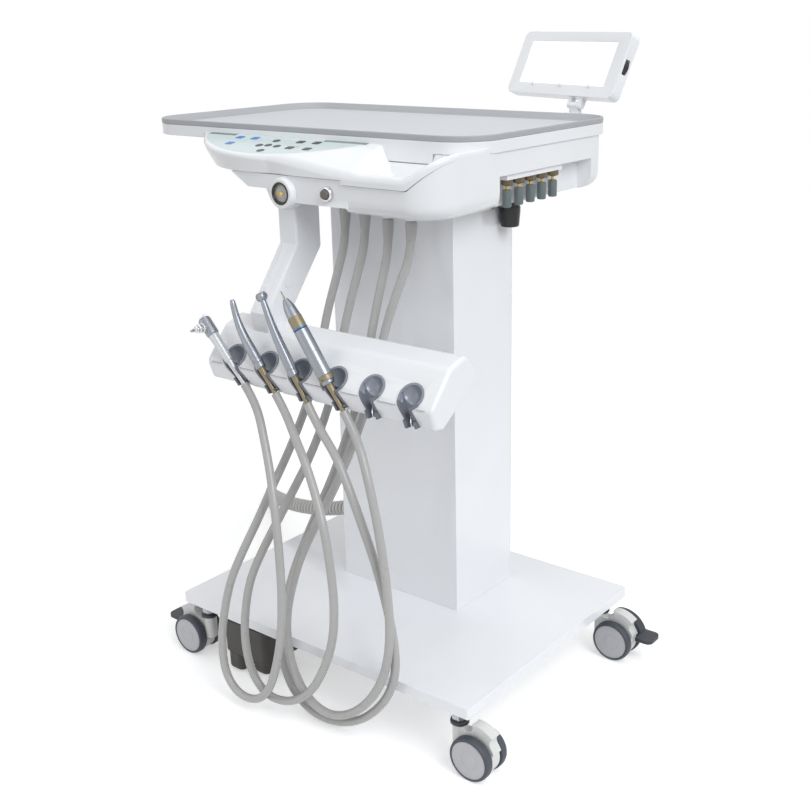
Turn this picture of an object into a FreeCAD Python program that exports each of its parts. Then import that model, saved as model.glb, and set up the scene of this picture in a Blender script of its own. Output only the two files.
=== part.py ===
import FreeCAD, Part

import math
import os
import re

import Sketcher
from FreeCAD import Placement, Rotation, Vector

# Portable dental unit. Millimetres; X to the right, -Y to the front, Z up.
# The origin is on the floor under the middle of the base plate.

SIZES = {
    # base plate, a folded steel pan
    "base_length": 550, "base_width": 419, "base_top": 108, "base_height": 16,
    "base_skin": 2, "base_lip": 14, "base_corner": 3,
    "pad_length": 50, "pad_width": 38, "pad_height": 6,
    # casters
    "caster_end": 30, "caster_side": 22.5, "caster_trail": 30, "wheel_radius": 31.5,
    "wheel_width": 13.2, "wheel_gap": 21.6, "tyre_round": 2.5, "disc_radius": 26.5, "hub_radius": 12,
    "axle_radius": 4, "axle_fit": 0.1, "fork_width": 16.8, "fork_radius": 29, "crown_radius": 33,
    "fin_radius": 45.5, "fin_start": 38, "fin_sweep": 70, "bite_radius": 10, "head_radius": 10,
    "head_top": 67, "stem_radius": 6, "stem_fit": 0.1, "stem_socket": 22, "cap_radius": 13,
    "cap_height": 6, "cap_gap": 0.3, "hex_flat": 19, "hex_height": 9,
    "pedal_inner": 34, "pedal_wall": 4.5, "pedal_start": 5, "pedal_sweep": 105, "pedal_web": 1.7,
    "pedal_reach": 62, "pedal_rise": 8, "pedal_thick": 5.5, "pedal_gap": 0.3, "pedal_hub": 9,
    # column
    "column_left": -115, "column_right": 108, "column_front": -8, "column_back": 135,
    "column_top": 711, "column_sheet": 1.5, "column_return": 16, "flange_height": 5, "flange_edge": 12,
    "cover_gap": 0.3, "screw_radius": 4, "screw_height": 2,
    # air supply inlet and its curly hose
    "inlet_y": 62, "inlet_z": 186, "inlet_radius": 9, "inlet_length": 12, "curl_diameter": 26,
    "coupling_radius": 9, "coupling_length": 46,
    # head: lower shell
    "shell_left": -205, "shell_back": 329, "shell_bottom": 711,
    "shell_top": 797, "shell_wall": 3, "shell_round": 22, "corner_left": 40, "corner_right": 62,
    "block_front": -115, "block_top": 756, "block_bottom": 736, "block_low": 720, "block_chamfer": 33,
    "block_step": -135, "block_right": 7, "bay_top": 750, "bay_rise": 115, "bay_back": 30, "bay_corner": 55,
    "notch_wall": 138, "notch_front": 25, "notch_back": 262, "notch_top": 756,
    # head: deck, mat, panel under the free end of the deck
    "deck_left": -476, "deck_right": 165, "deck_front": -40, "deck_back": 335, "deck_corner": 62,
    "deck_bottom": 788, "deck_top": 804.5, "deck_wall": 3, "recess_inset": 9, "recess_depth": 4.5,
    "skirt_bottom": 775, "skirt_left": -20, "skirt_right": 100,
    "mat_top": 812.5, "mat_rim": 3.5, "mat_floor": 2.5, "mat_fit": 0.3, "panel_gap": 0.3,
    # head: console with its storage bay
    "console_x": -168, "console_round": 221, "console_centre": 99.4, "console_top": 797.4,
    "keel_round": 163.6, "keel_centre": 44.6, "console_slope": 0.2, "overlay_round": 216.4,
    "overlay_chord": -40, "overlay_thick": 0.8, "pocket_front": -118, "pocket_rim": 767,
    "pocket_left": 28, "pocket_right": 150, "pocket_face": -108, "pocket_floor": 735,
    "pocket_corner": 45, "pocket_round": 14, "ramp_low": 112, "ramp_high": 158, "ramp_top": 796,
    "saddle_left": -165, "saddle_drop": 4, "pocket_turn": 56,
    # gauge and air switch
    "gauge_x": -100, "gauge_z": 732, "gauge_radius": 23, "gauge_face": 20, "gauge_front": -124,
    "gauge_back": -101, "dial_radius": 14, "dial_depth": 4, "case_radius": 18, "needle_length": 11,
    "needle_pin": 1.5, "switch_x": -19, "switch_z": 737, "switch_radius": 10.5, "switch_rise": 6,
    "barrel_radius": 8, "barrel_length": 22, "button_radius": 6.8, "button_rise": 4, "button_travel": 2.5,
    "button_fit": 0.3,
    # flow valves, bottle socket, hose glands
    "valve_x": 150, "valve_first": 59, "valve_pitch": 29, "valve_half": 8, "valve_block": 8,
    "collar_radius": 7.5, "collar_height": 8, "stem_thin": 2, "stem_clear": 0.1, "knob_radius": 6.5,
    "knob_height": 24, "knob_top": 734, "flute_radius": 1, "bottle_x": 124, "bottle_y": 105,
    "bottle_radius": 14, "bottle_taper": 1, "bottle_height": 36, "bottle_bore": 11, "bottle_depth": 28,
    "gland_radius": 9, "gland_height": 8, "gland_y": -60, "port_radius": 3.5, "port_height": 6,
    # inside of the head
    "chassis_sheet": 3, "post_radius": 6, "control_length": 120, "control_width": 80, "control_height": 30,
    # film viewer
    "viewer_x": 36.3, "viewer_y": 362, "viewer_z": 837.2, "viewer_width": 251, "viewer_height": 104,
    "viewer_depth": 18, "viewer_lean": 25, "viewer_turn": 17.6, "viewer_corner": 10, "viewer_rim": 25,
    "viewer_foot": 18, "viewer_brow": 15.5, "viewer_back": 2.5, "screen_thick": 2.5, "screen_sink": 1.5, "post_x": 79,
    "post_half": 15.5, "post_front": 341, "post_thick": 7, "post_bottom": 742, "post_top": 812,
    "knuckle_radius": 6, "knuckle_half": 9, "knuckle_pin": 2.5, "pin_fit": 0.1, "lug_width": 6,
    "hinge_along": 44, "hinge_drop": 12, "rocker_length": 20, "rocker_width": 9, "rocker_radius": 14,
    "rocker_aside": 4.5, "rocker_low": 42, "rocker_gap": 0.3,
    # arm and instrument bar
    "arm_left": -131, "arm_right": -96, "arm_round": 4, "bar_left": -176, "bar_right": 206,
    "bar_wall": 3, "bar_cap": 12, "seam_back": -178, "seam_height": 500,
    "holder_first": -140, "holder_pitch": 63, "holder_y": -198, "seat_z": 505, "seat_shift": -2.75,
    "dish_radius": 16.5, "dish_shift": 6, "dish_rise": 10, "dish_y": -196,
    "slot_width": 12.6, "slot_wall": 3, "slot_back": -189, "slot_length": 36,
    "insert_proud": 1.5, "tilt_1": 42, "tilt_2": 37, "tilt_3": 31, "tilt_4": 35, "tilt_5": 20, "tilt_6": 20,
    # instruments, tail to tip
    "seat_fit": 0.3, "tail_length": 40, "tail_top": 5.4, "tail_end": 4.2, "turbine_radius": 7.5,
    "turbine_handle": 65, "turbine_waist": 6, "turbine_neck": 39, "turbine_bend": 22, "second_handle": 68,
    "second_neck": 46, "second_bend": 8, "neck_radius": 4, "turbine_head": 5.6, "turbine_crown": 13,
    "motor_radius": 10.3, "motor_length": 81, "nose_length": 45.5, "nose_tip": 3.4, "nose_bur": 12,
    "nose_band": 19,
    "nose_gap": 0.3, "shank_radius": 2, "shank_fit": 0.1, "syringe_radius": 6.6, "syringe_handle": 38,
    "syringe_head": 9.5, "syringe_block": 26, "nozzle_radius": 6.5, "nozzle_length": 16,
    "nozzle_tip": 2.2, "nozzle_reach": 22, "push_radius": 3, "push_rise": 4, "push_travel": 2,
    "push_gap": 0.15, "push_spread": 4.4,
    # hoses and foot control
    "hose_diameter": 12, "foot_left": -194, "foot_right": -100, "foot_front": -207, "foot_back": -124,
    "foot_low": 34, "foot_top": 88, "foot_clear": 3, "foot_round": 12, "toe_length": 32, "toe_width": 45,
}

# Sizes that follow from the ones above.
TIED = {
    "caster_x": "=base_length / 2 - caster_end", "caster_y": "=base_width / 2 - caster_side",
    "shell_right": "=deck_right - deck_wall", "shell_front": "=deck_front + deck_wall",
}

CORNERS = {"fl": (-1, -1), "fr": (1, -1), "rl": (-1, 1), "rr": (1, 1)}
HOLDERS = range(6)
VALVES = range(5)

# Turns that point a piece built along Z the other ways.
POINTING = {
    "+z": ((0, 0, 1), "0"), "-z": ((1, 0, 0), "180"), "+x": ((0, 1, 0), "90"),
    "-x": ((0, 1, 0), "-90"), "+y": ((1, 0, 0), "-90"), "-y": ((1, 0, 0), "90"),
}

doc = FreeCAD.newDocument("DentalUnit")
sheet = doc.addObject("Spreadsheet::Sheet", "Sizes")
for row, (alias, size) in enumerate({**SIZES, **TIED}.items(), start=1):
    sheet.set(f"A{row}", alias)
    sheet.set(f"B{row}", str(size))
    sheet.setAlias(f"B{row}", alias)
doc.recompute()

nodes = []


# Formulas

def formula(text):
    """A formula in which each size's word becomes a reference to the sheet."""
    return re.sub(r"[a-z]+(?:_[a-z0-9]+)+", lambda word: "Sizes." + word.group(0), str(text))


def number(text):
    """The value of a formula now."""
    return float(sheet.evalExpression(formula(text)))


def bind(piece, **formulas):
    """Binds each named property of a piece to its formula."""
    for name, text in formulas.items():
        piece.setExpression(name, formula(text))
    return piece


def place(piece, x=0, y=0, z=0, axis=(0, 0, 1), angle="0"):
    """Puts a piece at a place, turned about an axis through it."""
    piece.Placement = Placement(Vector(), Rotation(Vector(*axis), number(angle)))
    if number(angle):
        piece.setExpression("Placement.Rotation.Angle", formula(angle))
    for letter, text in zip("xyz", (x, y, z)):
        piece.setExpression("Placement.Base." + letter, formula(text))
    return piece


def node(name, piece):
    """Names a finished sub-part."""
    piece.Label = name
    nodes.append(piece)
    return piece


# Primitives and booleans

def box(name, x0, x1, y0, y1, z0, z1):
    """A box between two limits on each axis."""
    piece = doc.addObject("Part::Box", name)
    bind(piece, Length=f"({x1}) - ({x0})", Width=f"({y1}) - ({y0})", Height=f"({z1}) - ({z0})")
    return place(piece, x0, y0, z0)


def rod(name, radius, length, x=0, y=0, z=0, way="+z"):
    """A cylinder from a point, pointing one of the six ways."""
    piece = doc.addObject("Part::Cylinder", name)
    bind(piece, Radius=radius, Height=length)
    return place(piece, x, y, z, *POINTING[way])


def cone(name, radius, top, length, x=0, y=0, z=0, way="+z"):
    """A cone from a point, pointing one of the six ways."""
    piece = doc.addObject("Part::Cone", name)
    bind(piece, Radius1=radius, Radius2=top, Height=length)
    return place(piece, x, y, z, *POINTING[way])


def ball(name, radius, x=0, y=0, z=0):
    """A sphere about a point."""
    return place(bind(doc.addObject("Part::Sphere", name), Radius=radius), x, y, z)


def union(name, *pieces):
    """One piece made of several that touch or overlap."""
    piece = doc.addObject("Part::MultiFuse", name)
    piece.Shapes = list(pieces)
    piece.Refine = True
    return piece


def group(name, *pieces):
    """Separate solids kept as one node."""
    piece = doc.addObject("Part::Compound", name)
    piece.Links = list(pieces)
    return piece


def cut(name, base, *tools):
    """A piece less one or more tools."""
    piece = doc.addObject("Part::Cut", name)
    piece.Base = base
    piece.Tool = tools[0] if len(tools) == 1 else union(name + "_tools", *tools)
    piece.Refine = True
    return piece


def common(name, one, other):
    """What two pieces share."""
    piece = doc.addObject("Part::Common", name)
    piece.Base = one
    piece.Tool = other
    piece.Refine = True
    return piece


# Part Design bodies

def body(name):
    """A new body."""
    return doc.addObject("PartDesign::Body", name)


def sketch(part, role="XY_Plane", offset="0"):
    """A sketch on one of the body's own planes, moved along its normal."""
    drawing = part.newObject("Sketcher::SketchObject", f"{part.Name}_sketch_{len(part.Group)}")
    plane = next(feature for feature in part.Origin.OriginFeatures if feature.Role == role)
    drawing.AttachmentSupport = (plane, [""])
    drawing.MapMode = "FlatFace"
    drawing.setExpression("AttachmentOffset.Base.z", formula(offset))
    return drawing


def fix(drawing, geometry, point, x, y):
    """Ties one point of a sketch to a place."""
    for kind, text in (("DistanceX", x), ("DistanceY", y)):
        index = drawing.addConstraint(Sketcher.Constraint(kind, -1, 1, geometry, point, number(text)))
        drawing.setExpression(f"Constraints[{index}]", formula(text))


def polygon(drawing, points):
    """A closed outline of straight edges."""
    values = [Vector(number(x), number(y), 0) for x, y in points]
    first = drawing.GeometryCount
    for one, other in zip(values, values[1:] + values[:1]):
        drawing.addGeometry(Part.LineSegment(one, other), False)
    for index, (x, y) in enumerate(points):
        before = first + (index - 1) % len(points)
        drawing.addConstraint(Sketcher.Constraint("Coincident", before, 2, first + index, 1))
        fix(drawing, first + index, 1, x, y)
    return drawing


def rectangle(drawing, x0, x1, y0, y1):
    """A closed rectangle."""
    return polygon(drawing, [(x0, y0), (x1, y0), (x1, y1), (x0, y1)])


def circle(drawing, radius, x="0", y="0"):
    """A circle about a point."""
    index = drawing.addGeometry(Part.Circle(Vector(number(x), number(y), 0), Vector(0, 0, 1), number(radius)), False)
    fix(drawing, index, 3, x, y)
    size = drawing.addConstraint(Sketcher.Constraint("Radius", index, number(radius)))
    drawing.setExpression(f"Constraints[{size}]", formula(radius))
    return drawing


def rounded_rectangle(drawing, x0, x1, y0, y1, radius):
    """A rectangle whose corners are tangent arcs."""
    left, right, low, high, r = (number(text) for text in (x0, x1, y0, y1, radius))
    sides = [((left + r, low), (right - r, low)), ((right, low + r), (right, high - r)),
             ((right - r, high), (left + r, high)), ((left, high - r), (left, low + r))]
    centres = [(right - r, low + r), (right - r, high - r), (left + r, high - r), (left + r, low + r)]
    for index, ((start, end), centre) in enumerate(zip(sides, centres)):
        drawing.addGeometry(Part.LineSegment(Vector(*start, 0), Vector(*end, 0)), False)
        round_edge = Part.Circle(Vector(*centre, 0), Vector(0, 0, 1), r)
        begin = (index - 1) * math.pi / 2
        drawing.addGeometry(Part.ArcOfCircle(round_edge, begin, begin + math.pi / 2), False)
    for index in range(4):
        drawing.addConstraint(Sketcher.Constraint("Tangent", 2 * index, 2, 2 * index + 1, 1))
        drawing.addConstraint(Sketcher.Constraint("Tangent", 2 * index + 1, 2, (2 * index + 2) % 8, 1))
        kind = "Horizontal" if index % 2 == 0 else "Vertical"
        drawing.addConstraint(Sketcher.Constraint(kind, 2 * index))
    for index in (1, 3, 5):
        drawing.addConstraint(Sketcher.Constraint("Equal", index, index + 2))
    size = drawing.addConstraint(Sketcher.Constraint("Radius", 1, r))
    drawing.setExpression(f"Constraints[{size}]", formula(radius))
    for line, kind, text in ((0, "DistanceY", y0), (2, "DistanceX", x1), (4, "DistanceY", y1), (6, "DistanceX", x0)):
        index = drawing.addConstraint(Sketcher.Constraint(kind, -1, 1, line, 1, number(text)))
        drawing.setExpression(f"Constraints[{index}]", formula(text))
    return drawing


def segment(drawing, x, centre, radius, chord):
    """A part of a disc cut off by a chord along X, on the -Y side."""
    cx, cy, r, line = (number(text) for text in (x, centre, radius, chord))
    half = math.sqrt(r ** 2 - (cy - line) ** 2)
    start = math.atan2(line - cy, -half)
    end = math.atan2(line - cy, half)
    arc = Part.ArcOfCircle(Part.Circle(Vector(cx, cy, 0), Vector(0, 0, 1), r), start, end)
    drawing.addGeometry(arc, False)
    drawing.addGeometry(Part.LineSegment(Vector(cx + half, line, 0), Vector(cx - half, line, 0)), False)
    drawing.addConstraint(Sketcher.Constraint("Coincident", 0, 2, 1, 1))
    drawing.addConstraint(Sketcher.Constraint("Coincident", 1, 2, 0, 1))
    drawing.addConstraint(Sketcher.Constraint("Horizontal", 1))
    fix(drawing, 0, 3, x, centre)
    size = drawing.addConstraint(Sketcher.Constraint("Radius", 0, r))
    drawing.setExpression(f"Constraints[{size}]", formula(radius))
    level = drawing.addConstraint(Sketcher.Constraint("DistanceY", -1, 1, 1, 1, line))
    drawing.setExpression(f"Constraints[{level}]", formula(chord))
    return drawing


def pad(part, drawing, length):
    """Adds a sketch's outline, extruded along its normal."""
    feature = part.newObject("PartDesign::Pad", f"{part.Name}_pad_{len(part.Group)}")
    feature.Profile = drawing
    bind(feature, Length=length)
    doc.recompute()
    return feature


def pocket(part, drawing, length, taper="0", along_normal=False):
    """Removes a sketch's outline, cut against its normal unless told otherwise."""
    before = part.Shape.Volume
    feature = part.newObject("PartDesign::Pocket", f"{part.Name}_pocket_{len(part.Group)}")
    feature.Profile = drawing
    feature.Reversed = along_normal
    bind(feature, Length=length, TaperAngle=taper)
    doc.recompute()
    if part.Shape.Volume >= before:
        raise RuntimeError(f"{feature.Name} removes nothing")
    return feature


def revolve(part, drawing):
    """Turns a sketch about its own vertical axis."""
    feature = part.newObject("PartDesign::Revolution", f"{part.Name}_turn_{len(part.Group)}")
    feature.Profile = drawing
    feature.ReferenceAxis = (drawing, ["V_Axis"])
    feature.Angle = 360
    doc.recompute()
    return feature


def turned(name, stations):
    """A body turned about Z from its (radius, height) stations."""
    part = body(name)
    revolve(part, polygon(sketch(part, "XZ_Plane"), stations))
    return part


def soften(part, radius, chosen):
    """Rounds the edges of a body that a test picks by their end points."""
    picked = []
    for index, edge in enumerate(part.Shape.Edges, start=1):
        ends = [vertex.Point for vertex in edge.Vertexes]
        if len(ends) == 2 and chosen(*ends):
            picked.append(f"Edge{index}")
    before = part.Tip
    feature = part.newObject("PartDesign::Fillet", f"{part.Name}_round_{len(part.Group)}")
    feature.Base = (before, picked)
    bind(feature, Radius=radius)
    doc.recompute()
    return feature


def upright(one, other):
    """Whether an edge runs along Z."""
    return abs(one.x - other.x) < 0.01 and abs(one.y - other.y) < 0.01


def near(value, text):
    """Whether a coordinate lies where a formula says."""
    return abs(value - number(text)) < 0.01


# Base and casters

def base_plate():
    """A folded pan, open below, with a pad under its skin for each caster stem."""
    part = body("base_plate")
    half_x, half_y, bottom = "base_length / 2", "base_width / 2", "(base_top - base_height)"
    pad(part, rectangle(sketch(part, offset=bottom), f"-{half_x}", half_x, f"-{half_y}", half_y), "base_height")
    soften(part, "base_corner", upright)
    room = [f"-{half_x} + base_skin", f"{half_x} - base_skin", f"-{half_y} + base_skin", f"{half_y} - base_skin"]
    mouth = [text.replace("base_skin", "base_lip") for text in room]
    pocket(part, rectangle(sketch(part, offset=f"{bottom} + base_skin"), *room),
           "base_height - 2 * base_skin", along_normal=True)
    pocket(part, rectangle(sketch(part, offset=bottom), *mouth), "base_skin", along_normal=True)
    pads = sketch(part, offset="base_top - base_skin - pad_height")
    for sx, sy in CORNERS.values():
        x, y = f"({sx} * caster_x)", f"({sy} * caster_y)"
        rectangle(pads, f"{x} - pad_length / 2", f"{x} + pad_length / 2", f"{y} - pad_width / 2", f"{y} + pad_width / 2")
    pad(part, pads, "pad_height")
    holes = sketch(part, offset="base_top - base_skin - pad_height")
    for sx, sy in CORNERS.values():
        circle(holes, "stem_radius", f"{sx} * caster_x", f"{sy} * caster_y")
    pocket(part, holes, "pad_height", along_normal=True)
    node("base_plate", part)


def caster_stems():
    """Each stem with its hexagon, and the bearing cap that covers the swivel."""
    pieces = []
    for corner, (sx, sy) in CORNERS.items():
        x, y = f"{sx} * caster_x", f"{sy} * caster_y"
        bottom = "(head_top - stem_socket + cap_gap)"
        shaft = rod(f"stem_{corner}", "stem_radius", f"base_top - base_skin - {bottom}", x, y, bottom)
        hexagon = doc.addObject("Part::Prism", f"hexagon_{corner}")
        hexagon.Polygon = 6
        bind(hexagon, Circumradius="hex_flat / 2 / cos(30)", Height="hex_height")
        place(hexagon, x, y, "head_top + cap_gap + cap_height")
        cap = rod(f"cap_{corner}", "cap_radius", "cap_height", x, y, "head_top + cap_gap")
        hole = rod(f"cap_hole_{corner}", "stem_radius", "cap_height", x, y, "head_top + cap_gap")
        pieces += [union(f"post_{corner}", shaft, hexagon), cut(f"ring_{corner}", cap, hole)]
    node("caster_stems", group("caster_stems", *pieces))


def sector(name, radius, width, low, start, sweep):
    """A slice of a disc about Y, from an angle above +X, lying from y = low upwards."""
    piece = doc.addObject("Part::Cylinder", name)
    bind(piece, Radius=radius, Height=width, Angle=sweep)
    turn = Rotation(Vector(1, 0, 0), 90) * Rotation(Vector(0, 0, 1), number(start))
    piece.Placement = Placement(Vector(), turn)
    piece.setExpression("Placement.Base.y", formula(f"({low}) + ({width})"))
    return piece


def at_caster(piece, sx, sy):
    """Moves a piece from its axle's own frame, +X trailing, to a corner."""
    x, y = f"{sx} * (caster_x + caster_trail)", f"{sy} * caster_y"
    return place(piece, x, y, "wheel_radius", (0, 0, 1), "0" if sx > 0 else "180")


def caster_fork(corner, sx, sy):
    """The housing between the wheels: disc, crown, fin, swivel head and axle."""
    name = f"caster_fork_{corner}"
    low = "-fork_width / 2"
    disc = rod(f"{name}_disc", "fork_radius", "fork_width", 0, low, 0, "+y")
    crown = sector(f"{name}_crown", "crown_radius", "fork_width", low, "20", "140")
    fin = sector(f"{name}_fin", "fin_radius", "fork_width", low, "fin_start", "fin_sweep")
    bites = []
    for index, angle in enumerate(("fin_start", "fin_start + fin_sweep")):
        reach = "(crown_radius + bite_radius)"
        x, z = f"{reach} * cos({angle})", f"{reach} * sin({angle})"
        bites.append(rod(f"{name}_bite_{index}", "bite_radius", "fork_width", x, low, z, "+y"))
    head = rod(f"{name}_head", "head_radius", "head_top - wheel_radius", "-caster_trail", 0, 0)
    web = box(f"{name}_web", "-caster_trail", "0", low, "fork_width / 2", "0", "head_top - wheel_radius - 6")
    axle = rod(f"{name}_axle", "axle_radius", "wheel_gap + 1.7 * wheel_width", 0,
               "-(wheel_gap + 1.7 * wheel_width) / 2", 0, "+y")
    solid = union(f"{name}_solid", disc, crown, cut(f"{name}_blade", fin, *bites), head, web, axle)
    bore = rod(f"{name}_bore", "stem_radius + stem_fit", "stem_socket + 1", "-caster_trail", 0,
               "head_top - wheel_radius - stem_socket")
    relief = rod(f"{name}_relief", "cap_radius + cap_gap", "fin_radius", "-caster_trail", 0, "head_top - wheel_radius")
    node(name, at_caster(cut(name, solid, bore, relief), sx, sy))


def wheel(name):
    """One wheel, its inner face at z = 0: rounded tyre, sunk disc and hub cap, blind bore."""
    bore = "axle_radius + axle_fit"
    return turned(name, [
        (bore, "0"), ("wheel_radius - tyre_round", "0"), ("wheel_radius", "tyre_round"),
        ("wheel_radius", "wheel_width - 2 * tyre_round"), ("wheel_radius - tyre_round / 2", "wheel_width - tyre_round / 2"),
        ("wheel_radius - tyre_round * 1.6", "wheel_width"), ("disc_radius", "wheel_width - 1"),
        ("hub_radius + 0.5", "wheel_width - 0.4"), ("hub_radius", "wheel_width - 0.8"), ("0", "wheel_width"),
        ("0", "wheel_width * 0.85 + 0.3"), (bore, "wheel_width * 0.85 + 0.3")])


def caster_wheels(corner, sx, sy):
    """The pair of wheels on one axle."""
    name = f"caster_wheels_{corner}"
    inner = place(wheel(f"{name}_far"), 0, "wheel_gap / 2", 0, *POINTING["+y"])
    outer = place(wheel(f"{name}_near"), 0, "-wheel_gap / 2", 0, *POINTING["-y"])
    node(name, at_caster(group(name, inner, outer), sx, sy))


def brake_pedal(corner, sx, sy):
    """A brake pedal: hub and web beside the fork, an arch over one wheel and a toe tab."""
    name = f"brake_pedal_{corner}"
    far = sx > 0
    start = "fork_width / 2 + pedal_gap"
    edge = "(wheel_gap / 2 + wheel_width + 0.6)"
    outside = "pedal_inner + pedal_wall"
    web_low = f"({start})" if far else f"-({start}) - pedal_web"
    arch_low = f"({start})" if far else f"-{edge}"
    arch_width = f"{edge} - ({start})"
    web = sector(f"{name}_web", outside, "pedal_web", web_low, "pedal_start", "pedal_sweep")
    hub = rod(f"{name}_hub", "pedal_hub", "pedal_web", 0, web_low, 0, "+y")
    arch = sector(f"{name}_slab", outside, arch_width, arch_low, "pedal_start", "pedal_sweep")
    inside = rod(f"{name}_inside", "pedal_inner", arch_width, 0, arch_low, 0, "+y")
    tab_low, tab_high = ("-10", edge) if far else (f"-{edge}", "10")
    tab = box(f"{name}_tab", "pedal_inner + 1.5", "pedal_reach", tab_low, tab_high, "pedal_rise",
              "pedal_rise + pedal_thick")
    tip = doc.addObject("Part::Fillet", f"{name}_tip")
    tip.Base = tab
    doc.recompute()
    ends = []
    for index, line in enumerate(tab.Shape.Edges, start=1):
        one, other = (vertex.Point for vertex in line.Vertexes)
        if upright(one, other) and near(one.x, "pedal_reach"):
            ends.append(index)
    tip.Edges = [(index, number("pedal_thick + 4"), number("pedal_thick + 4")) for index in ends]
    shell = cut(f"{name}_arch", arch, inside)
    solid = union(f"{name}_solid", web, hub, shell, tip)
    bore = rod(f"{name}_bore", "axle_radius + axle_fit", "4 * pedal_web", 0, f"{web_low} - pedal_web", 0, "+y")
    node(name, at_caster(cut(name, solid, bore), sx, sy))


# Column

def column_shell():
    """A folded channel, open at the back between two returns."""
    part = body("column_shell")
    sheet_, back = "column_sheet", "column_back - column_sheet - cover_gap"
    left, right, front = "column_left", "column_right", "column_front"
    pad(part, polygon(sketch(part, offset="base_top"), [
        (left, front), (right, front), (right, back), (f"{right} - column_return", back),
        (f"{right} - column_return", f"{back} - {sheet_}"), (f"{right} - {sheet_}", f"{back} - {sheet_}"),
        (f"{right} - {sheet_}", f"{front} + {sheet_}"), (f"{left} + {sheet_}", f"{front} + {sheet_}"),
        (f"{left} + {sheet_}", f"{back} - {sheet_}"), (f"{left} + column_return", f"{back} - {sheet_}"),
        (f"{left} + column_return", back), (left, back)]), "column_top - base_top")
    hole = sketch(part, "YZ_Plane", "column_left")
    circle(hole, "inlet_radius - 2", "inlet_y", "inlet_z")
    pocket(part, hole, "column_sheet", along_normal=True)
    node("column_shell", part)


def column_rear_cover():
    """The plate that closes the back of the column, with screw holes."""
    plate = box("rear_cover_plate", "column_left", "column_right", "column_back - column_sheet", "column_back",
                "base_top + 2", "column_top - 2")
    node("column_rear_cover", plate)


def column_flanges():
    """The plates that bolt the column to the base and to the head."""
    pieces = []
    inside = ["column_left + column_sheet", "column_right - column_sheet", "column_front + column_sheet",
              "column_back - 2 * column_sheet - cover_gap"]
    for name, low in (("flange_foot", "base_top"), ("flange_head", "column_top - flange_height")):
        plate = box(name, *inside, low, f"{low} + flange_height")
        window = box(f"{name}_window", "column_left + 45", "column_right - 45", "column_front + 35",
                     "column_back - 35", low, f"{low} + flange_height")
        bolts = []
        for index, x in enumerate(("column_left + 25", "column_right - 25")):
            bolts.append(rod(f"{name}_bolt_{index}", "5", "4", x, "column_front + 20", f"{low} + flange_height"
                             if name == "flange_foot" else f"{low} - 4"))
        pieces.append(union(f"{name}_solid", cut(f"{name}_ring", plate, window), *bolts))
    node("column_flanges", group("column_flanges", *pieces))


def fasteners():
    """The rear cover's screw heads and the round plugs in the arm's side."""
    pieces = []
    for row, z in enumerate(("base_top + 40", "(base_top + column_top) / 2", "column_top - 40")):
        for side, x in enumerate(("column_left + 9", "column_right - 9")):
            pieces.append(rod(f"screw_{row}_{side}", "screw_radius", "screw_height", x, "column_back", z, "+y"))
    for index, (y, z) in enumerate((("-78", "683"), ("-121", "609"))):
        pieces.append(rod(f"plug_{index}", "8", "1.2", "arm_right", y, z, "+x"))
    node("fasteners", group("fasteners", *pieces))


# Air supply

INLET = ("column_left", "inlet_y", "inlet_z")


def tube(name, diameter, points):
    """A tube along straight runs joined by arcs tangent to both, as large as the runs allow."""
    points = [Vector(*point) for point in points]
    edges, start, radii = [], points[0], []
    for before, corner, after in zip(points, points[1:], points[2:]):
        into = (corner - before).normalize()
        out = (after - corner).normalize()
        half = into.getAngle(out) / 2
        tangent = 0.45 * min(corner.distanceToPoint(before), corner.distanceToPoint(after))
        radius = tangent / math.tan(half)
        centre = corner + (out - into).normalize() * (radius / math.cos(half))
        middle = centre + (corner - centre).normalize() * radius
        end = corner + out * tangent
        edges.append(Part.LineSegment(start, corner - into * tangent).toShape())
        edges.append(Part.Arc(corner - into * tangent, middle, end).toShape())
        radii.append(radius)
        start = end
    edges.append(Part.LineSegment(start, points[-1]).toShape())
    path = Part.Wire(edges)
    section = Part.Wire(Part.Circle(points[0], points[1] - points[0], diameter / 2).toShape())
    shape = path.makePipeShell([section], True, False)
    ideal = math.pi * diameter ** 2 / 4 * path.Length
    print(f"{name}: length {path.Length:.0f}, least radius {min(radii):.0f}, volume ratio {shape.Volume / ideal:.4f}")
    piece = doc.addObject("Part::Feature", name)
    piece.Shape = shape
    piece.Placement = Placement()
    return piece


CURL_ROUTE = [
    (-160, 62, 186), (-204, 63, 170), (-250, 66, 158), (-300, 73, 148), (-348, 87, 140), (-390, 106, 131),
    (-426, 134, 117), (-461, 168, 95), (-496, 202, 66), (-530, 235, 35), (-566, 267, 14), (-603, 298, 14),
]


def air_hose():
    """The curly supply hose, sagging from the inlet to the floor behind the base."""
    start = (number("column_left - inlet_length"), number("inlet_y"), number("inlet_z"))
    node("air_hose", tube("air_hose", number("curl_diameter"), [start] + CURL_ROUTE))


def air_hose_coupling():
    """The quick coupling at the hose's free end: plug, collar and barbed tail."""
    part = turned("air_hose_coupling", [
        ("0", "0"), ("coupling_radius - 2", "0"), ("coupling_radius - 2", "8"), ("coupling_radius", "10"),
        ("coupling_radius", "26"), ("coupling_radius - 2", "28"), ("coupling_radius - 3.5", "30"),
        ("coupling_radius - 3.5", "coupling_length - 3"), ("coupling_radius - 4.5", "coupling_length"),
        ("0", "coupling_length")])
    end, before = Vector(*CURL_ROUTE[-1]), Vector(*CURL_ROUTE[-2])
    part.Placement = Placement(end, Rotation(Vector(0, 0, 1), end - before))
    node("air_hose_coupling", part)


# Head: lower shell and what it carries

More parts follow.
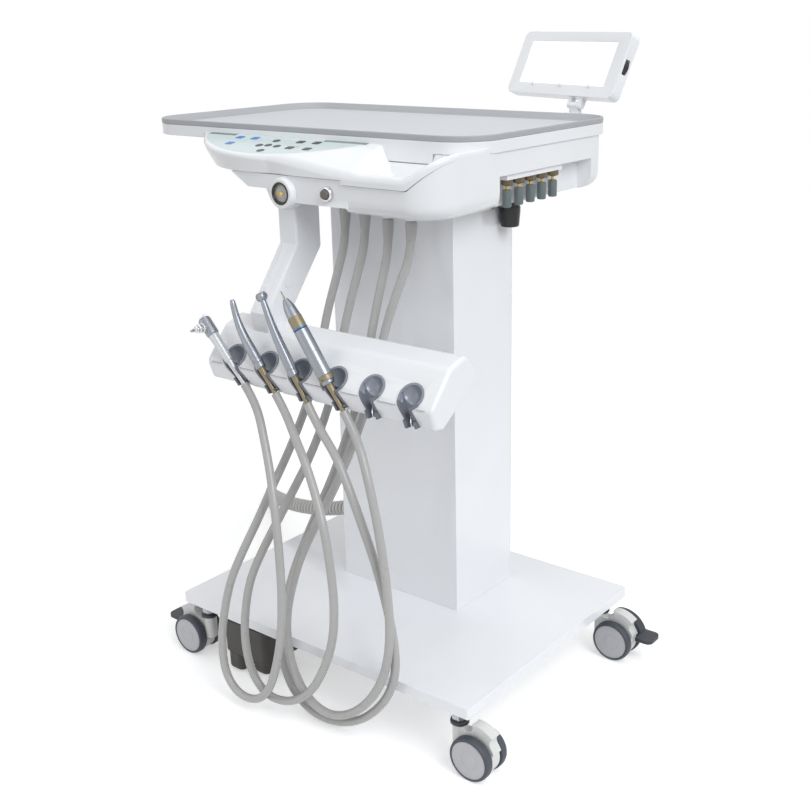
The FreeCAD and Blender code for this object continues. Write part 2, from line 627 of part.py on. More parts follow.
def rear_tub(name, inset, top):
    """The part of the lower shell under the deck, smaller all round by an inset."""
    part = body(name)
    low, left, right = f"shell_bottom + {inset}", f"shell_left + {inset}", f"shell_right - {inset}"
    front, back = f"shell_front + {inset}", f"shell_back - {inset}"
    pad(part, rectangle(sketch(part, offset=low), left, right, front, back), f"{top} - ({low})")
    soften(part, f"corner_left - {inset}", lambda a, b: upright(a, b) and near(a.x, left) and near(a.y, back))
    soften(part, f"corner_right - {inset}", lambda a, b: upright(a, b) and near(a.x, right) and near(a.y, back))
    soften(part, f"deck_corner - deck_wall - {inset}",
           lambda a, b: upright(a, b) and near(a.x, right) and near(a.y, front))
    soften(part, f"shell_round - {inset}", lambda a, b: near(a.z, low) and near(b.z, low))
    return part


def front_block(name, inset, back):
    """The low block under the console, with its chamfered left end."""
    part = body(name)
    top = "block_top"
    pad(part, polygon(sketch(part, "XZ_Plane", f"-({back})"), [
        (f"shell_left + 1 + {inset}", top), (f"shell_left + 1 + {inset} * 0.6 + block_chamfer", f"block_bottom + {inset}"),
        (f"block_step + {inset}", f"block_bottom + {inset}"), (f"block_step + 8 + {inset} * 0.6", f"block_low + {inset}"),
        (f"block_right + 8", f"block_low + {inset}"), (f"block_right + 8", "bay_top - 2"), ("block_right", "bay_top - 2"),
        ("block_right", top)]),
        f"({back}) - (block_front + {inset})")
    return part


def bay_block(name, inset):
    """The deeper block under the storage bay, its top rising to the deck on the right."""
    plan = body(f"{name}_plan")
    low, front, right = f"shell_bottom + {inset}", f"block_front + {inset}", f"shell_right - {inset}"
    left = "block_right" if inset == "0" else "block_right - 4"
    pad(plan, rectangle(sketch(plan, offset=low), left, right, front, "bay_back"), f"deck_bottom - ({low})")
    soften(plan, f"bay_corner - {inset}", lambda a, b: upright(a, b) and near(a.x, right) and near(a.y, front))

    def lowest(a, b):
        behind = near(a.y, "bay_back") and near(b.y, "bay_back")
        beside = near(a.x, left) and near(b.x, left)
        return near(a.z, low) and near(b.z, low) and not behind and not beside

    soften(plan, f"shell_round - {inset}", lowest)
    side = body(f"{name}_side")
    pad(side, polygon(sketch(side, "XZ_Plane", "-bay_back - 1"), [
        (f"{left} - 1", "shell_bottom - 1"), ("shell_right + 1", "shell_bottom - 1"), ("shell_right + 1", "deck_bottom"),
        ("shell_right", "deck_bottom"), ("bay_rise", "bay_top"), (f"{left} - 1", "bay_top")]),
        "bay_back + 2 - block_front")
    return common(name, plan, side)


def notch(name, grow):
    """The room for the valves in the right side, larger by a margin."""
    return box(name, f"notch_wall - {grow}", "shell_right + 2", f"notch_front - {grow}", f"notch_back + {grow}",
               "shell_bottom - 2", f"notch_top + {grow}")


def lower_shell():
    """The moulded tub of the head, with its holes for what passes through it."""
    bulge = rod("gauge_bulge", "gauge_radius", "gauge_back - block_front", "gauge_x", "block_front", "gauge_z", "+y")
    outside = union("shell_outside", rear_tub("tub_outside", "0", "shell_top"),
                    front_block("block_outside", "0", "shell_front"), bay_block("bay_outside", "0"), bulge)
    hollow = rod("bulge_hollow", "gauge_radius - shell_wall", "gauge_back - block_front - 2 * shell_wall",
                 "gauge_x", "block_front + shell_wall", "gauge_z", "+y")
    inside = union("shell_inside", rear_tub("tub_inside", "shell_wall", "(shell_top + 1)"),
                   front_block("block_inside", "shell_wall", "(shell_front + 2 * shell_wall)"),
                   bay_block("bay_inside", "shell_wall"), hollow)
    room = cut("shell_room", inside, notch("notch_inside", "shell_wall"))
    holes = [
        rod("hole_gauge", "case_radius", "shell_wall + 2", "gauge_x", "block_front - 1", "gauge_z", "+y"),
        rod("hole_switch", "barrel_radius", "shell_wall + 2", "switch_x", "block_front - 1", "switch_z", "+y"),
        box("hole_column", "-60", "60", "column_front + 40", "column_back - 40", "shell_bottom - 1",
            "shell_bottom + shell_wall + 1"),
    ]
    for index, (x, z) in enumerate(GLANDS):
        holes.append(rod(f"hole_hose_{index}", "hose_diameter / 2 + 1", "shell_wall + 2", x, "gland_y", f"{z} - 1"))
    whole = cut("lower_shell", outside, room, notch("notch_outside", "0"), *holes)
    node("lower_shell", whole)


def head_chassis():
    """The steel plate on the column's top, and the posts that carry the deck."""
    low = "shell_bottom + shell_wall"
    plate = box("chassis_plate", "shell_left + 25", "notch_wall - 25", "shell_front + 30", "shell_back - 40",
                low, f"{low} + chassis_sheet")
    window = box("chassis_window", "-60", "60", "column_front + 40", "column_back - 40", low, f"{low} + chassis_sheet")
    posts = []
    for index, (x, y) in enumerate((("shell_left + 40", "20"), ("notch_wall - 40", "20"),
                                    ("shell_left + 40", "shell_back - 60"), ("notch_wall - 40", "shell_back - 60"))):
        posts.append(rod(f"chassis_post_{index}", "post_radius", f"shell_top - ({low}) - chassis_sheet", x, y,
                         f"{low} + chassis_sheet"))
    node("head_chassis", union("head_chassis", cut("chassis_ring", plate, window), *posts))


def control_block():
    """The manifold with its row of solenoid valves, on the chassis inside the head."""
    low = "(shell_bottom + shell_wall + chassis_sheet)"
    block = box("control_manifold", "-control_length / 2", "control_length / 2", "column_back + 30",
                "column_back + 30 + control_width", low, f"{low} + control_height")
    coils = [rod(f"solenoid_{index}", "9", "26", f"-control_length / 2 + {18 + 28 * index}",
                 "column_back + 30 + control_width / 2", f"{low} + control_height") for index in range(4)]
    node("control_block", union("control_block", block, *coils))


# Head: deck, mat and panel

def deck_outline(inset):
    """Limits and corner radius of the deck's plan, smaller all round by an inset."""
    return [f"deck_left + ({inset})", f"deck_right - ({inset})", f"deck_front + ({inset})",
            f"deck_back - ({inset})", f"deck_corner - ({inset})"]


def tray_deck():
    """The deck: an upturned pan with a recess for the mat and a skirt behind the storage bay."""
    part = body("tray_deck")
    pad(part, rounded_rectangle(sketch(part, offset="deck_bottom"), *deck_outline("0")), "deck_top - deck_bottom")
    pocket(part, rounded_rectangle(sketch(part, offset="deck_top"), *deck_outline("recess_inset")), "recess_depth")
    pocket(part, rounded_rectangle(sketch(part, offset="deck_bottom"), *deck_outline("deck_wall")),
           "shell_top - deck_bottom", along_normal=True)
    skirt = sketch(part, offset="skirt_bottom")
    rectangle(skirt, "skirt_left", "skirt_right", "deck_front", "deck_front + deck_wall")
    pad(part, skirt, "deck_bottom - skirt_bottom + 1")
    node("tray_deck", part)


def tray_underside():
    """The panel that closes the deck's free end from below."""
    part = body("tray_underside")
    margin = "deck_wall + panel_gap"
    left, right, front, back, radius = deck_outline(margin)
    pad(part, rounded_rectangle(sketch(part, offset="deck_bottom"), left, f"{right}", front, back, radius), "deck_wall")
    trim = sketch(part, offset="deck_bottom")
    rectangle(trim, "shell_left - panel_gap", "deck_right", "deck_front", "deck_back")
    pocket(part, trim, "deck_wall", along_normal=True)
    ribs = sketch(part, offset="deck_bottom + deck_wall")
    for x in ("deck_left + 60", "deck_left + 140", "deck_left + 220"):
        rectangle(ribs, x, f"{x} + 3", "deck_front + 60", "deck_back - 60")
    pad(part, ribs, "shell_top - deck_bottom - deck_wall")
    node("tray_underside", part)


def tray_mat():
    """The lift-off silicone mat: a rim outside, and a floor let into the deck's recess."""
    part = body("tray_mat")
    inset = "recess_inset + mat_fit"
    pad(part, rounded_rectangle(sketch(part, offset="deck_top"), *deck_outline("0")), "mat_top - deck_top")
    pad(part, rounded_rectangle(sketch(part, offset="deck_top - recess_depth"), *deck_outline(inset)), "recess_depth")
    depth = "mat_top - (deck_top - recess_depth) - mat_floor"
    pocket(part, rounded_rectangle(sketch(part, offset="mat_top"), *deck_outline("mat_rim")), depth, "-36")
    node("tray_mat", part)


# Head: console

def console_prism(name, inset, low, high):
    """The console's tapering body between two levels."""
    part = body(name)
    ends = []
    for level, centre, radius in ((low, "keel_centre", "keel_round"), (high, "console_centre", "console_round")):
        ends.append(segment(sketch(part, offset=level), "console_x", centre, f"{radius} - {inset}",
                            f"deck_front - {inset}"))
    loft = part.newObject("PartDesign::AdditiveLoft", f"{name}_loft")
    loft.Profile = ends[0]
    loft.Sections = [ends[1]]
    loft.Ruled = True
    doc.recompute()
    return part


def slope_tool(name, drop):
    """What lies above the console's sloping top, lowered by an amount."""
    piece = box(name, "-600", "200", "-150", "10", "0", "60")
    return place(piece, "-600", "deck_front - 150 * cos(atan(console_slope))",
                 f"console_top - {drop} - 150 * sin(atan(console_slope))", (1, 0, 0), "atan(console_slope)")


def console_saddle():
    """The moulding's front between the console and the bay, its top falling to the bay's rim."""
    part = body("console_saddle")
    ends = []
    level = "console_top - saddle_drop"
    for x, front, back in (("saddle_left", f"{level} - console_slope * (deck_front - pocket_front)", level),
                           ("pocket_left", "pocket_rim", "console_top - saddle_drop / 2")):
        ends.append(polygon(sketch(part, "YZ_Plane", x), [
            ("deck_front", "block_top"), ("pocket_front", "block_top"), ("pocket_front", front), ("deck_front", back)]))
    loft = part.newObject("PartDesign::AdditiveLoft", "console_saddle_loft")
    loft.Profile = ends[0]
    loft.Sections = [ends[1]]
    loft.Ruled = True
    doc.recompute()
    return part


def console_shell():
    """The upper front moulding: the console, and the storage bay beside it."""
    solid = cut("console_solid", console_prism("console_outside", "0", "block_top", "console_top"),
                slope_tool("slope_outside", "overlay_thick"))
    hollow = cut("console_room", console_prism("console_inside", "shell_wall", "block_top + shell_wall", "console_top"),
                 slope_tool("slope_inside", "overlay_thick - shell_wall + 2 * shell_wall"))
    port = box("console_port", "console_x - 20", "gauge_x", "block_front + 20", "deck_front - 20", "block_top - 1",
               "block_top + shell_wall + 1")

    face = body("pocket_side")
    pad(face, polygon(sketch(face, "XZ_Plane", "-bay_back"), [
        ("block_right", "bay_top"), ("bay_rise", "bay_top"), ("shell_right", "deck_bottom"),
        ("shell_right", "ramp_top"), ("ramp_high", "ramp_top - 1"), ("ramp_low", "pocket_rim"),
        ("block_right", "pocket_rim")]), "bay_back - pocket_front")
    plan = body("pocket_plan")
    pad(plan, rectangle(sketch(plan, offset="block_low"), "block_right - 1", "shell_right", "pocket_front", "bay_back"),
        "100")
    soften(plan, "pocket_turn", lambda a, b: upright(a, b) and near(a.x, "shell_right") and near(a.y, "pocket_front"))
    deck = body("deck_keepout")
    pad(deck, rounded_rectangle(sketch(deck, offset="block_low"), *deck_outline("0")), "120")
    bay = cut("bay_upper", common("bay_rounded", face, plan), deck)

    tub = body("pocket_tub")
    grow = "shell_wall"
    pad(tub, rectangle(sketch(tub, offset="pocket_floor - shell_wall"), f"pocket_left - {grow}", f"pocket_right + {grow}",
                       f"pocket_face - {grow}", "deck_front"), "bay_top + 2 - pocket_floor + shell_wall")
    soften(tub, "pocket_corner + shell_wall",
           lambda a, b: upright(a, b) and near(a.x, f"pocket_right + {grow}") and near(a.y, f"pocket_face - {grow}"))
    soften(tub, "pocket_round + shell_wall",
           lambda a, b: upright(a, b) and near(a.x, f"pocket_left - {grow}") and near(a.y, f"pocket_face - {grow}"))
    room = body("pocket_room")
    pad(room, rectangle(sketch(room, offset="pocket_floor"), "pocket_left", "pocket_right", "pocket_face", "deck_front"),
        "80")
    soften(room, "pocket_corner", lambda a, b: upright(a, b) and near(a.x, "pocket_right") and near(a.y, "pocket_face"))
    soften(room, "pocket_round", lambda a, b: upright(a, b) and near(a.x, "pocket_left") and near(a.y, "pocket_face"))
    soften(room, "pocket_round / 2", lambda a, b: near(a.z, "pocket_floor") and near(b.z, "pocket_floor")
           and not (near(a.y, "deck_front") and near(b.y, "deck_front")))
    back = box("pocket_back", "pocket_left", "pocket_right", "deck_front - 1.5", "deck_front", "pocket_floor", "bay_top - 3")
    mass = union("console_mass", solid, console_saddle(), bay, tub)
    whole = cut("console_body", mass, hollow, port, room)
    node("console_shell", union("console_shell", whole, back))


def console_overlay():
    """The membrane keypad on the console's sloping top."""
    part = body("console_overlay")
    stretch = "cos(atan(console_slope))"
    part_sketch = sketch(part)
    segment(part_sketch, "console_x", f"(console_centre - overlay_chord) / {stretch}", "overlay_round", "0")
    pad(part, part_sketch, "overlay_thick")
    place(part, 0, "overlay_chord", "console_top - overlay_thick", (1, 0, 0), "atan(console_slope)")
    node("console_overlay", part)


# Gauge and air switch

def gauge_case():
    """The pressure gauge's housing: a tapering front, a sunk dial and a barrel through the shell."""
    depth = "(block_front - gauge_front)"
    part = turned("gauge_case", [
        ("needle_pin", "dial_depth"), ("dial_radius", "dial_depth"), ("dial_radius", "0"), ("gauge_face", "0"),
        ("gauge_radius", depth), ("case_radius", depth), ("case_radius", f"{depth} + 9"),
        ("0", f"{depth} + 9"), ("0", "dial_depth + 3"), ("needle_pin", "dial_depth + 3")])
    node("gauge_case", place(part, "gauge_x", "gauge_front", "gauge_z", *POINTING["+y"]))


def gauge_needle():
    """The needle and its hub, turning on the dial."""
    hub = rod("needle_hub", "3", "1", 0, "0", 0, "+y")
    pin = rod("needle_shaft", "needle_pin - 0.1", "3.2", 0, "0.9", 0, "+y")
    blade = box("needle_blade", "-needle_length", "4", "0", "0.8", "-0.6", "0.6")
    whole = union("gauge_needle", hub, pin, blade)
    node("gauge_needle", place(whole, "gauge_x", "gauge_front + dial_depth - 1.3", "gauge_z"))


def air_switch_housing():
    """The chromed ring and threaded barrel of the air switch."""
    depth = "switch_rise"
    part = turned("air_switch_housing", [
        ("button_radius + button_fit", "0"), ("switch_radius - 1.5", "0"), ("switch_radius", "1.5"),
        ("switch_radius", depth), ("barrel_radius", depth), ("barrel_radius", f"{depth} + barrel_length"),
        ("0", f"{depth} + barrel_length"), ("0", "12"), ("button_radius + button_fit", "12")])
    node("air_switch_housing", place(part, "switch_x", "block_front - switch_rise", "switch_z", *POINTING["+y"]))


def air_switch_button():
    """The air switch's domed push button."""
    part = turned("air_switch_button", [
        ("0", "0"), ("button_radius - 2", "0"), ("button_radius", "1.5"), ("button_radius", "button_rise + 5"),
        ("0", "button_rise + 5")])
    node("air_switch_button", place(part, "switch_x", "block_front - switch_rise - button_rise", "switch_z",
                                    *POINTING["+y"]))


# Valves, bottle socket and glands

GLANDS = [(-39, "block_low"), (-2.5, "block_low"), (38, "shell_bottom"), (78, "shell_bottom")]


def valve_manifold():
    """The bar in the notch's ceiling, with a bored collar for each flow valve."""
    low = "(notch_top - valve_block)"
    block = box("manifold_bar", "valve_x - valve_half", "valve_x + valve_half", "valve_first - 11",
                "valve_first + 4 * valve_pitch + 11", low, "notch_top")
    collars = [rod(f"manifold_collar_{index}", "collar_radius", "collar_height", "valve_x",
                   f"valve_first + {index} * valve_pitch", f"{low} - collar_height") for index in VALVES]
    bores = [rod(f"manifold_bore_{index}", "stem_thin + stem_clear", "collar_height + 5", "valve_x",
                 f"valve_first + {index} * valve_pitch", f"{low} - collar_height - 1") for index in VALVES]
    node("valve_manifold", cut("valve_manifold", union("manifold_solid", block, *collars), *bores))


def valve_knob(index):
    """A fluted knob and the thin stem it turns."""
    name = f"valve_knob_{index + 1}"
    part = body(name)
    low, r = "-knob_height", "knob_radius"
    stem = "notch_top - valve_block - knob_top + 2"
    revolve(part, polygon(sketch(part, "XZ_Plane"), [
        ("0", low), (f"{r} - 1", low), (r, f"{low} + 1"), (r, "-1"), (f"{r} - 1", "0"), ("stem_thin", "0"),
        ("stem_thin", stem), ("0", stem)]))
    flutes = sketch(part, offset=low)
    circle(flutes, "flute_radius", r, "0")
    groove = pocket(part, flutes, "knob_height", along_normal=True)
    pattern = part.newObject("PartDesign::PolarPattern", f"{name}_flutes")
    pattern.Originals = [groove]
    pattern.Axis = (flutes, ["N_Axis"])
    pattern.Angle = 360
    pattern.Occurrences = 16
    part.Tip = pattern
    node(name, place(part, "valve_x", f"valve_first + {index} * valve_pitch", "knob_top"))


def bottle_socket():
    """The black socket for the water bottle, bored from below."""
    low = "-bottle_height"
    part = turned("bottle_socket", [
        ("0", "0"), ("bottle_radius", "0"), ("bottle_radius", "-10"), ("bottle_radius - bottle_taper", f"{low} + 1"),
        ("bottle_radius - bottle_taper - 1", low), ("bottle_bore", low), ("bottle_bore", f"{low} + bottle_depth"),
        ("0", f"{low} + bottle_depth")])
    node("bottle_socket", place(part, "bottle_x", "bottle_y", "shell_bottom"))


def port_fittings():
    """The hose glands and push-in ports under the head, and the air inlet on the column."""
    pieces = []
    for index, (x, z) in enumerate(GLANDS):
        pieces.append(rod(f"gland_{index}", "gland_radius", "gland_height", x, "gland_y", f"{z} - gland_height"))
    for index, y in enumerate(("60", "82")):
        pieces.append(rod(f"port_{index}", "port_radius", "port_height", "bottle_x", y, "shell_bottom - port_height"))
    collar = rod("inlet_collar", "inlet_radius", "inlet_length", *INLET, "-x")
    barrel = rod("inlet_barrel", "inlet_radius - 2.1", "14", "column_left + 14", "inlet_y", "inlet_z", "-x")
    node("port_fittings", group("port_fittings", *pieces, union("inlet_fitting", collar, barrel)))


# Film viewer

def viewer_turn():
    """The viewer's turn: leaning back, then round the vertical."""
    return Rotation(Vector(0, 0, 1), -number("viewer_turn")) * Rotation(Vector(1, 0, 0), -number("viewer_lean"))


def at_viewer(piece):
    """Puts a piece built in the viewer's own frame, X along its foot and Y back, in place."""
    piece.Placement = Placement(Vector(), viewer_turn())
    for letter in "xyz":
        piece.setExpression(f"Placement.Base.{letter}", formula(f"viewer_{letter}"))
    return piece


def viewer_frame():
    """The viewer's case: a lit window in front, and lugs with a pin below."""
    half = "viewer_width / 2"
    part = body("viewer_case")
    pad(part, rounded_rectangle(sketch(part, "XZ_Plane", "-viewer_depth"), f"-{half}", half, "0", "viewer_height",
                                "viewer_corner"), "viewer_depth")
    limits = [f"-{half} + viewer_rim", f"{half} - viewer_rim", "viewer_foot", "viewer_height - viewer_brow"]
    pocket(part, rectangle(sketch(part, "XZ_Plane", "0"), *limits), "viewer_depth - viewer_back")
    slot = box("rocker_slot", f"{half} - 9", f"{half} + 1", "rocker_aside - rocker_gap",
               "rocker_aside + rocker_width + rocker_gap", "rocker_low - 1.5", "rocker_low + rocker_length + 1.5")
    lugs = []
    for index, side in enumerate((-1, 1)):
        middle = f"(hinge_along + {side} * (knuckle_half + 0.3 + lug_width / 2))"
        lugs.append(box(f"lug_{index}", f"{middle} - lug_width / 2", f"{middle} + lug_width / 2", "viewer_depth / 2 - 5",
                        "viewer_depth / 2 + 5", "-hinge_drop", "2"))
        lugs.append(rod(f"lug_eye_{index}", "5", "lug_width", f"{middle} - lug_width / 2", "viewer_depth / 2",
                        "-hinge_drop", "+x"))
    pin = rod("hinge_pin", "knuckle_pin", "2 * knuckle_half + 2 * lug_width", "hinge_along - knuckle_half - lug_width",
              "viewer_depth / 2", "-hinge_drop", "+x")
    whole = union("viewer_frame", cut("viewer_box", part, slot), *lugs, pin)
    node("viewer_frame", at_viewer(whole))


def viewer_diffuser():
    """The opal panel in the viewer's window."""
    half = "viewer_width / 2"
    panel = box("viewer_panel", f"-{half} + viewer_rim", f"{half} - viewer_rim", "screen_sink",
                "screen_sink + screen_thick", "viewer_foot", "viewer_height - viewer_brow")
    lamp = box("viewer_lamp", f"-{half} + viewer_rim + 20", f"{half} - viewer_rim - 20",
               "screen_sink + screen_thick", "viewer_depth - viewer_back", "viewer_foot + 8", "viewer_foot + 18")
    node("viewer_diffuser", at_viewer(union("viewer_diffuser", panel, lamp)))


def viewer_switch():
    """The rocker switch in the viewer's right side, tipping about a pin across its depth."""
    side = "viewer_width / 2"
    rocker = rod("rocker_drum", "rocker_radius", "rocker_width", f"{side} - rocker_radius + 1.2", "rocker_aside",
                 "rocker_low + rocker_length / 2", "+y")
    trim = box("rocker_trim", f"{side} - 7", f"{side} + 2", "rocker_aside", "rocker_aside + rocker_width",
               "rocker_low + 0.5", "rocker_low + rocker_length - 0.5")
    node("viewer_switch", at_viewer(common("viewer_switch", rocker, trim)))


def hinge_point():
    """The middle of the viewer's hinge."""
    local = Vector(number("hinge_along"), number("viewer_depth / 2"), -number("hinge_drop"))
    return viewer_turn().multVec(local) + Vector(*(number(f"viewer_{letter}") for letter in "xyz"))


def viewer_post():
    """The post behind the head: foot block, upright and hinge knuckle."""
    hinge = hinge_point()
    foot = box("post_foot", "post_x - post_half", "post_x + post_half", "shell_back", "post_front + post_thick",
               "post_bottom", "post_bottom + 36")
    stalk = box("post_stalk", "post_x - post_half", "post_x + post_half", "post_front", "post_front + post_thick",
                "post_bottom", "post_top")
    neck = doc.addObject("Part::Feature", "post_neck")
    half, deep = number("knuckle_half"), number("knuckle_radius")
    across = viewer_turn().multVec(Vector(1, 0, 0))
    back = Vector(-across.y, across.x, 0)
    base = Vector(hinge.x, hinge.y, number("post_top - 14"))
    corners = [base + across * (i * half) + back * (j * deep * 0.8) for i, j in ((-1, -1), (1, -1), (1, 1), (-1, 1))]
    neck.Shape = Part.Face(Part.makePolygon(corners + corners[:1])).extrude(Vector(0, 0, hinge.z - base.z))
    neck.Placement = Placement()
    knuckle = doc.addObject("Part::Cylinder", "post_knuckle")
    bind(knuckle, Radius="knuckle_radius", Height="2 * knuckle_half")
    knuckle.Placement = Placement(hinge - across * half, Rotation(Vector(0, 0, 1), across))
    bore = doc.addObject("Part::Cylinder", "post_bore")
    bind(bore, Radius="knuckle_pin + pin_fit", Height="4 * knuckle_half")
    bore.Placement = Placement(hinge - across * (2 * half), Rotation(Vector(0, 0, 1), across))
    node("viewer_post", cut("viewer_post", union("post_solid", foot, stalk, neck, knuckle), bore))


# Arm and instrument bar

ARM = [(-100, "block_low"), (-50, "block_low"), (-50, 649), (-129, 550), (-163, 539), (-166, 571), (-100, 659)]
BAR = [(-128, 557), (-100, 523), (-176, 470), (-193, 473), (-202, 500), (-162, 546)]


def arm_bracket():
    """The cranked arm that hangs the instrument bar from the head, its lower end shaped to the bar."""
    part = body("arm_prism")
    pad(part, polygon(sketch(part, "YZ_Plane", "arm_left"), ARM), "arm_right - arm_left")
    soften(part, "arm_round", lambda a, b: abs(a.x - b.x) < 0.01 and (near(a.x, "arm_left") or near(a.x, "arm_right"))
           and not (near(a.z, "block_low") and near(b.z, "block_low"))
           and not (near(min(a.y, b.y), ARM[4][0]) and near(max(a.y, b.y), ARM[3][0])))
    seated = bar_prism("arm_seat", "arm_left - arm_round", "arm_right + arm_round")
    node("arm_bracket", cut("arm_bracket", part, seated))


def bar_prism(name, left, right, shift="0"):
    """The bar's section along X, moved outward by an amount."""
    part = body(name)
    points = [(f"{y} - {shift}", f"{z}") for y, z in BAR]
    pad(part, polygon(sketch(part, "YZ_Plane", left), points), f"({right}) - ({left})")
    for radius, index in (("12", 0), ("22", 5), ("14", 4), ("6", 1), ("6", 3)):
        y, z = number(points[index][0]), BAR[index][1]
        soften(part, radius, lambda a, b: abs(a.y - y) < 0.01 and abs(b.y - y) < 0.01 and abs(a.z - z) < 0.01)
    return part


def shell_of(part):
    """Hollows a bar's prism from end to end."""
    before = part.Tip
    feature = part.newObject("PartDesign::Thickness", f"{part.Name}_wall")
    faces = [f"Face{index}" for index, face in enumerate(part.Shape.Faces, start=1)
             if abs(abs(face.normalAt(0, 0).x) - 1) < 1e-6]
    feature.Base = (before, faces)
    feature.Reversed = 1
    bind(feature, Value="bar_wall")
    doc.recompute()
    return part


def seat(index):
    """Formulas for the X of a holder's seat and for its tilt."""
    return f"(holder_first + {index} * holder_pitch + seat_shift)", f"tilt_{index + 1}"


def along(piece, index, reach):
    """Puts a piece built along Z on an instrument's line, a way up from its seat."""
    x, tilt = seat(index)
    return place(piece, f"{x} - ({reach}) * sin({tilt})", "holder_y", f"seat_z + ({reach}) * cos({tilt})",
                 (0, 1, 0), f"-{tilt}")


SEATED = ["syringe_radius", "turbine_radius", "turbine_radius", "motor_radius", "turbine_radius", "turbine_radius"]


def holder_space(name, index, wall, front, length="slot_length"):
    """What a holder takes up, its walls included: dish, round seat and slot."""
    x, tilt = seat(index)
    dish = ball(f"{name}_dish_{index}", f"dish_radius + {wall}", f"{x} + dish_shift", "dish_y", "seat_z + dish_rise")
    cup = along(rod(f"{name}_cup_{index}", f"{SEATED[index]} + seat_fit + {wall}", f"26 + {wall}"), index, f"-({wall})")
    half = f"(slot_width / 2 + {wall})"
    slot = doc.addObject("Part::Box", f"{name}_slot_{index}")
    depth = f"(slot_back + {wall} - ({front}))"
    bind(slot, Length=f"2 * {half}", Width=depth, Height=f"{length} + 12")
    reach = f"-({length})"
    place(slot, f"{x} - ({reach}) * sin({tilt}) - {half} * cos({tilt})", front,
          f"seat_z + ({reach}) * cos({tilt}) - {half} * sin({tilt})", (0, 1, 0), f"-{tilt}")
    return [dish, cup, slot]


def instrument_bar():
    """The bar's upper shell, its lower cover along the front edge, and its end caps."""
    rooms = [piece for index in HOLDERS for piece in holder_space("room", index, "slot_wall", "-225", "2 * slot_length")]
    taken = union("holder_rooms", *rooms)
    hollow = shell_of(bar_prism("bar_skin", "bar_left", "bar_right"))
    strip = box("seam_zone", "bar_left - 1", "bar_right + 1", "-230", "seam_back", "440", "seam_height")
    upper = cut("bar_shell", hollow, strip, taken)
    strip_2 = box("cover_zone", "bar_left", "bar_right", "-230", "seam_back", "440", "seam_height")
    lower = cut("bar_cover", common("cover_strip", hollow, strip_2), taken)
    node("bar_shell", upper)
    node("bar_cover", lower)
    left = bar_prism("end_cap_left", "bar_left - bar_cap", "bar_left")
    right = bar_prism("end_cap_right", "bar_right", "bar_right + bar_cap")
    node("bar_end_caps", group("bar_end_caps", left, right))


def holder_inserts():
    """The soft liners of the six holders."""
    limit = bar_prism("insert_limit", "bar_left", "bar_right", "insert_proud")
    tail = box("insert_tail", "bar_left", "bar_right", "-201", "-150", "472", "482")
    zone = union("insert_zone", limit, tail)
    liners = []
    for index in HOLDERS:
        dish, cup, slot = holder_space("liner", index, "slot_wall", "-210")
        outer = common(f"liner_outer_{index}", union(f"liner_mass_{index}", dish, cup, slot), zone)
        inner = union(f"liner_inner_{index}", *holder_space("void", index, "0", "-225", "2 * slot_length"))
        liners.append(cut(f"liner_{index}", outer, inner))
    node("holder_inserts", group("holder_inserts", *liners))


# Instruments: each is built along its own Z from its seat at z = 0, and laid in its holder

def tail_cone(name):
    """The connector that lies in the holder's slot."""
    return cone(name, "tail_end", "tail_top", "tail_length", 0, 0, "-tail_length")


def in_holder(piece, index):
    """Lays an instrument in its holder."""
    return along(piece, index, "seat_fit")


def turbine(name, index, kind):
    """A turbine handpiece: connector, handle, bent neck and head, with its own kind's lengths."""
    length, reach, bend = f"{kind}_handle", f"{kind}_neck", f"{kind}_bend"
    handle = turned(f"{name}_handle", [
        ("0", "0"), ("turbine_radius - 0.6", "0"), ("turbine_radius", "1"), ("turbine_radius", "20"),
        ("turbine_waist + 0.8", f"{length} / 2"), ("turbine_waist", length), ("0", length)])
    joint = ball(f"{name}_bend", "turbine_waist", 0, 0, length)
    neck = place(cone(f"{name}_neck", "turbine_waist", "neck_radius", reach), 0, 0, length, (0, 1, 0), bend)
    aside = "turbine_crown / 2"
    head = place(rod(f"{name}_head", "turbine_head", "turbine_crown"), f"{reach} * sin({bend}) - {aside} * cos({bend})",
                 0, f"{length} + {reach} * cos({bend}) + {aside} * sin({bend})", (0, 1, 0), f"90 + {bend}")
    node(name, in_holder(union(name, tail_cone(f"{name}_tail"), handle, joint, neck, head), index))


def motor():
    """The micromotor: connector, collar rings and a plain barrel."""
    r = "motor_radius"
    barrel = turned("motor_barrel", [
        ("0", "0"), (f"{r} - 2", "0"), (r, "3"), (r, "9"), (f"{r} - 0.4", "9.5"), (f"{r} - 0.4", "24"), (r, "24.5"),
        (r, "motor_length"), ("shank_radius + shank_fit", "motor_length"),
        ("shank_radius + shank_fit", "motor_length - 14"), ("0", "motor_length - 14")])
    node("motor", in_holder(union("motor", tail_cone("motor_tail"), barrel), 3))


def nose_cone():
    """The straight nose on the motor, with its drive shank and bur, turning as one."""
    r, tip = "motor_radius", "nose_tip"
    part = turned("nose_cone", [
        ("0", "-13"), ("shank_radius", "-13"), ("shank_radius", "0"), (r, "0"), (r, "1"), (f"{r} - 0.5", "1.5"),
        (f"{r} - 0.8", "nose_band"), (f"{r} - 1.2", "nose_band + 0.5"), (f"{r} * 0.62", "nose_length * 0.75"),
        (tip, "nose_length"),
        ("1.2", "nose_length"), ("1.2", "nose_length + nose_bur"), ("0", "nose_length + nose_bur")])
    node("nose_cone", along(part, 3, "seat_fit + motor_length + nose_gap"))


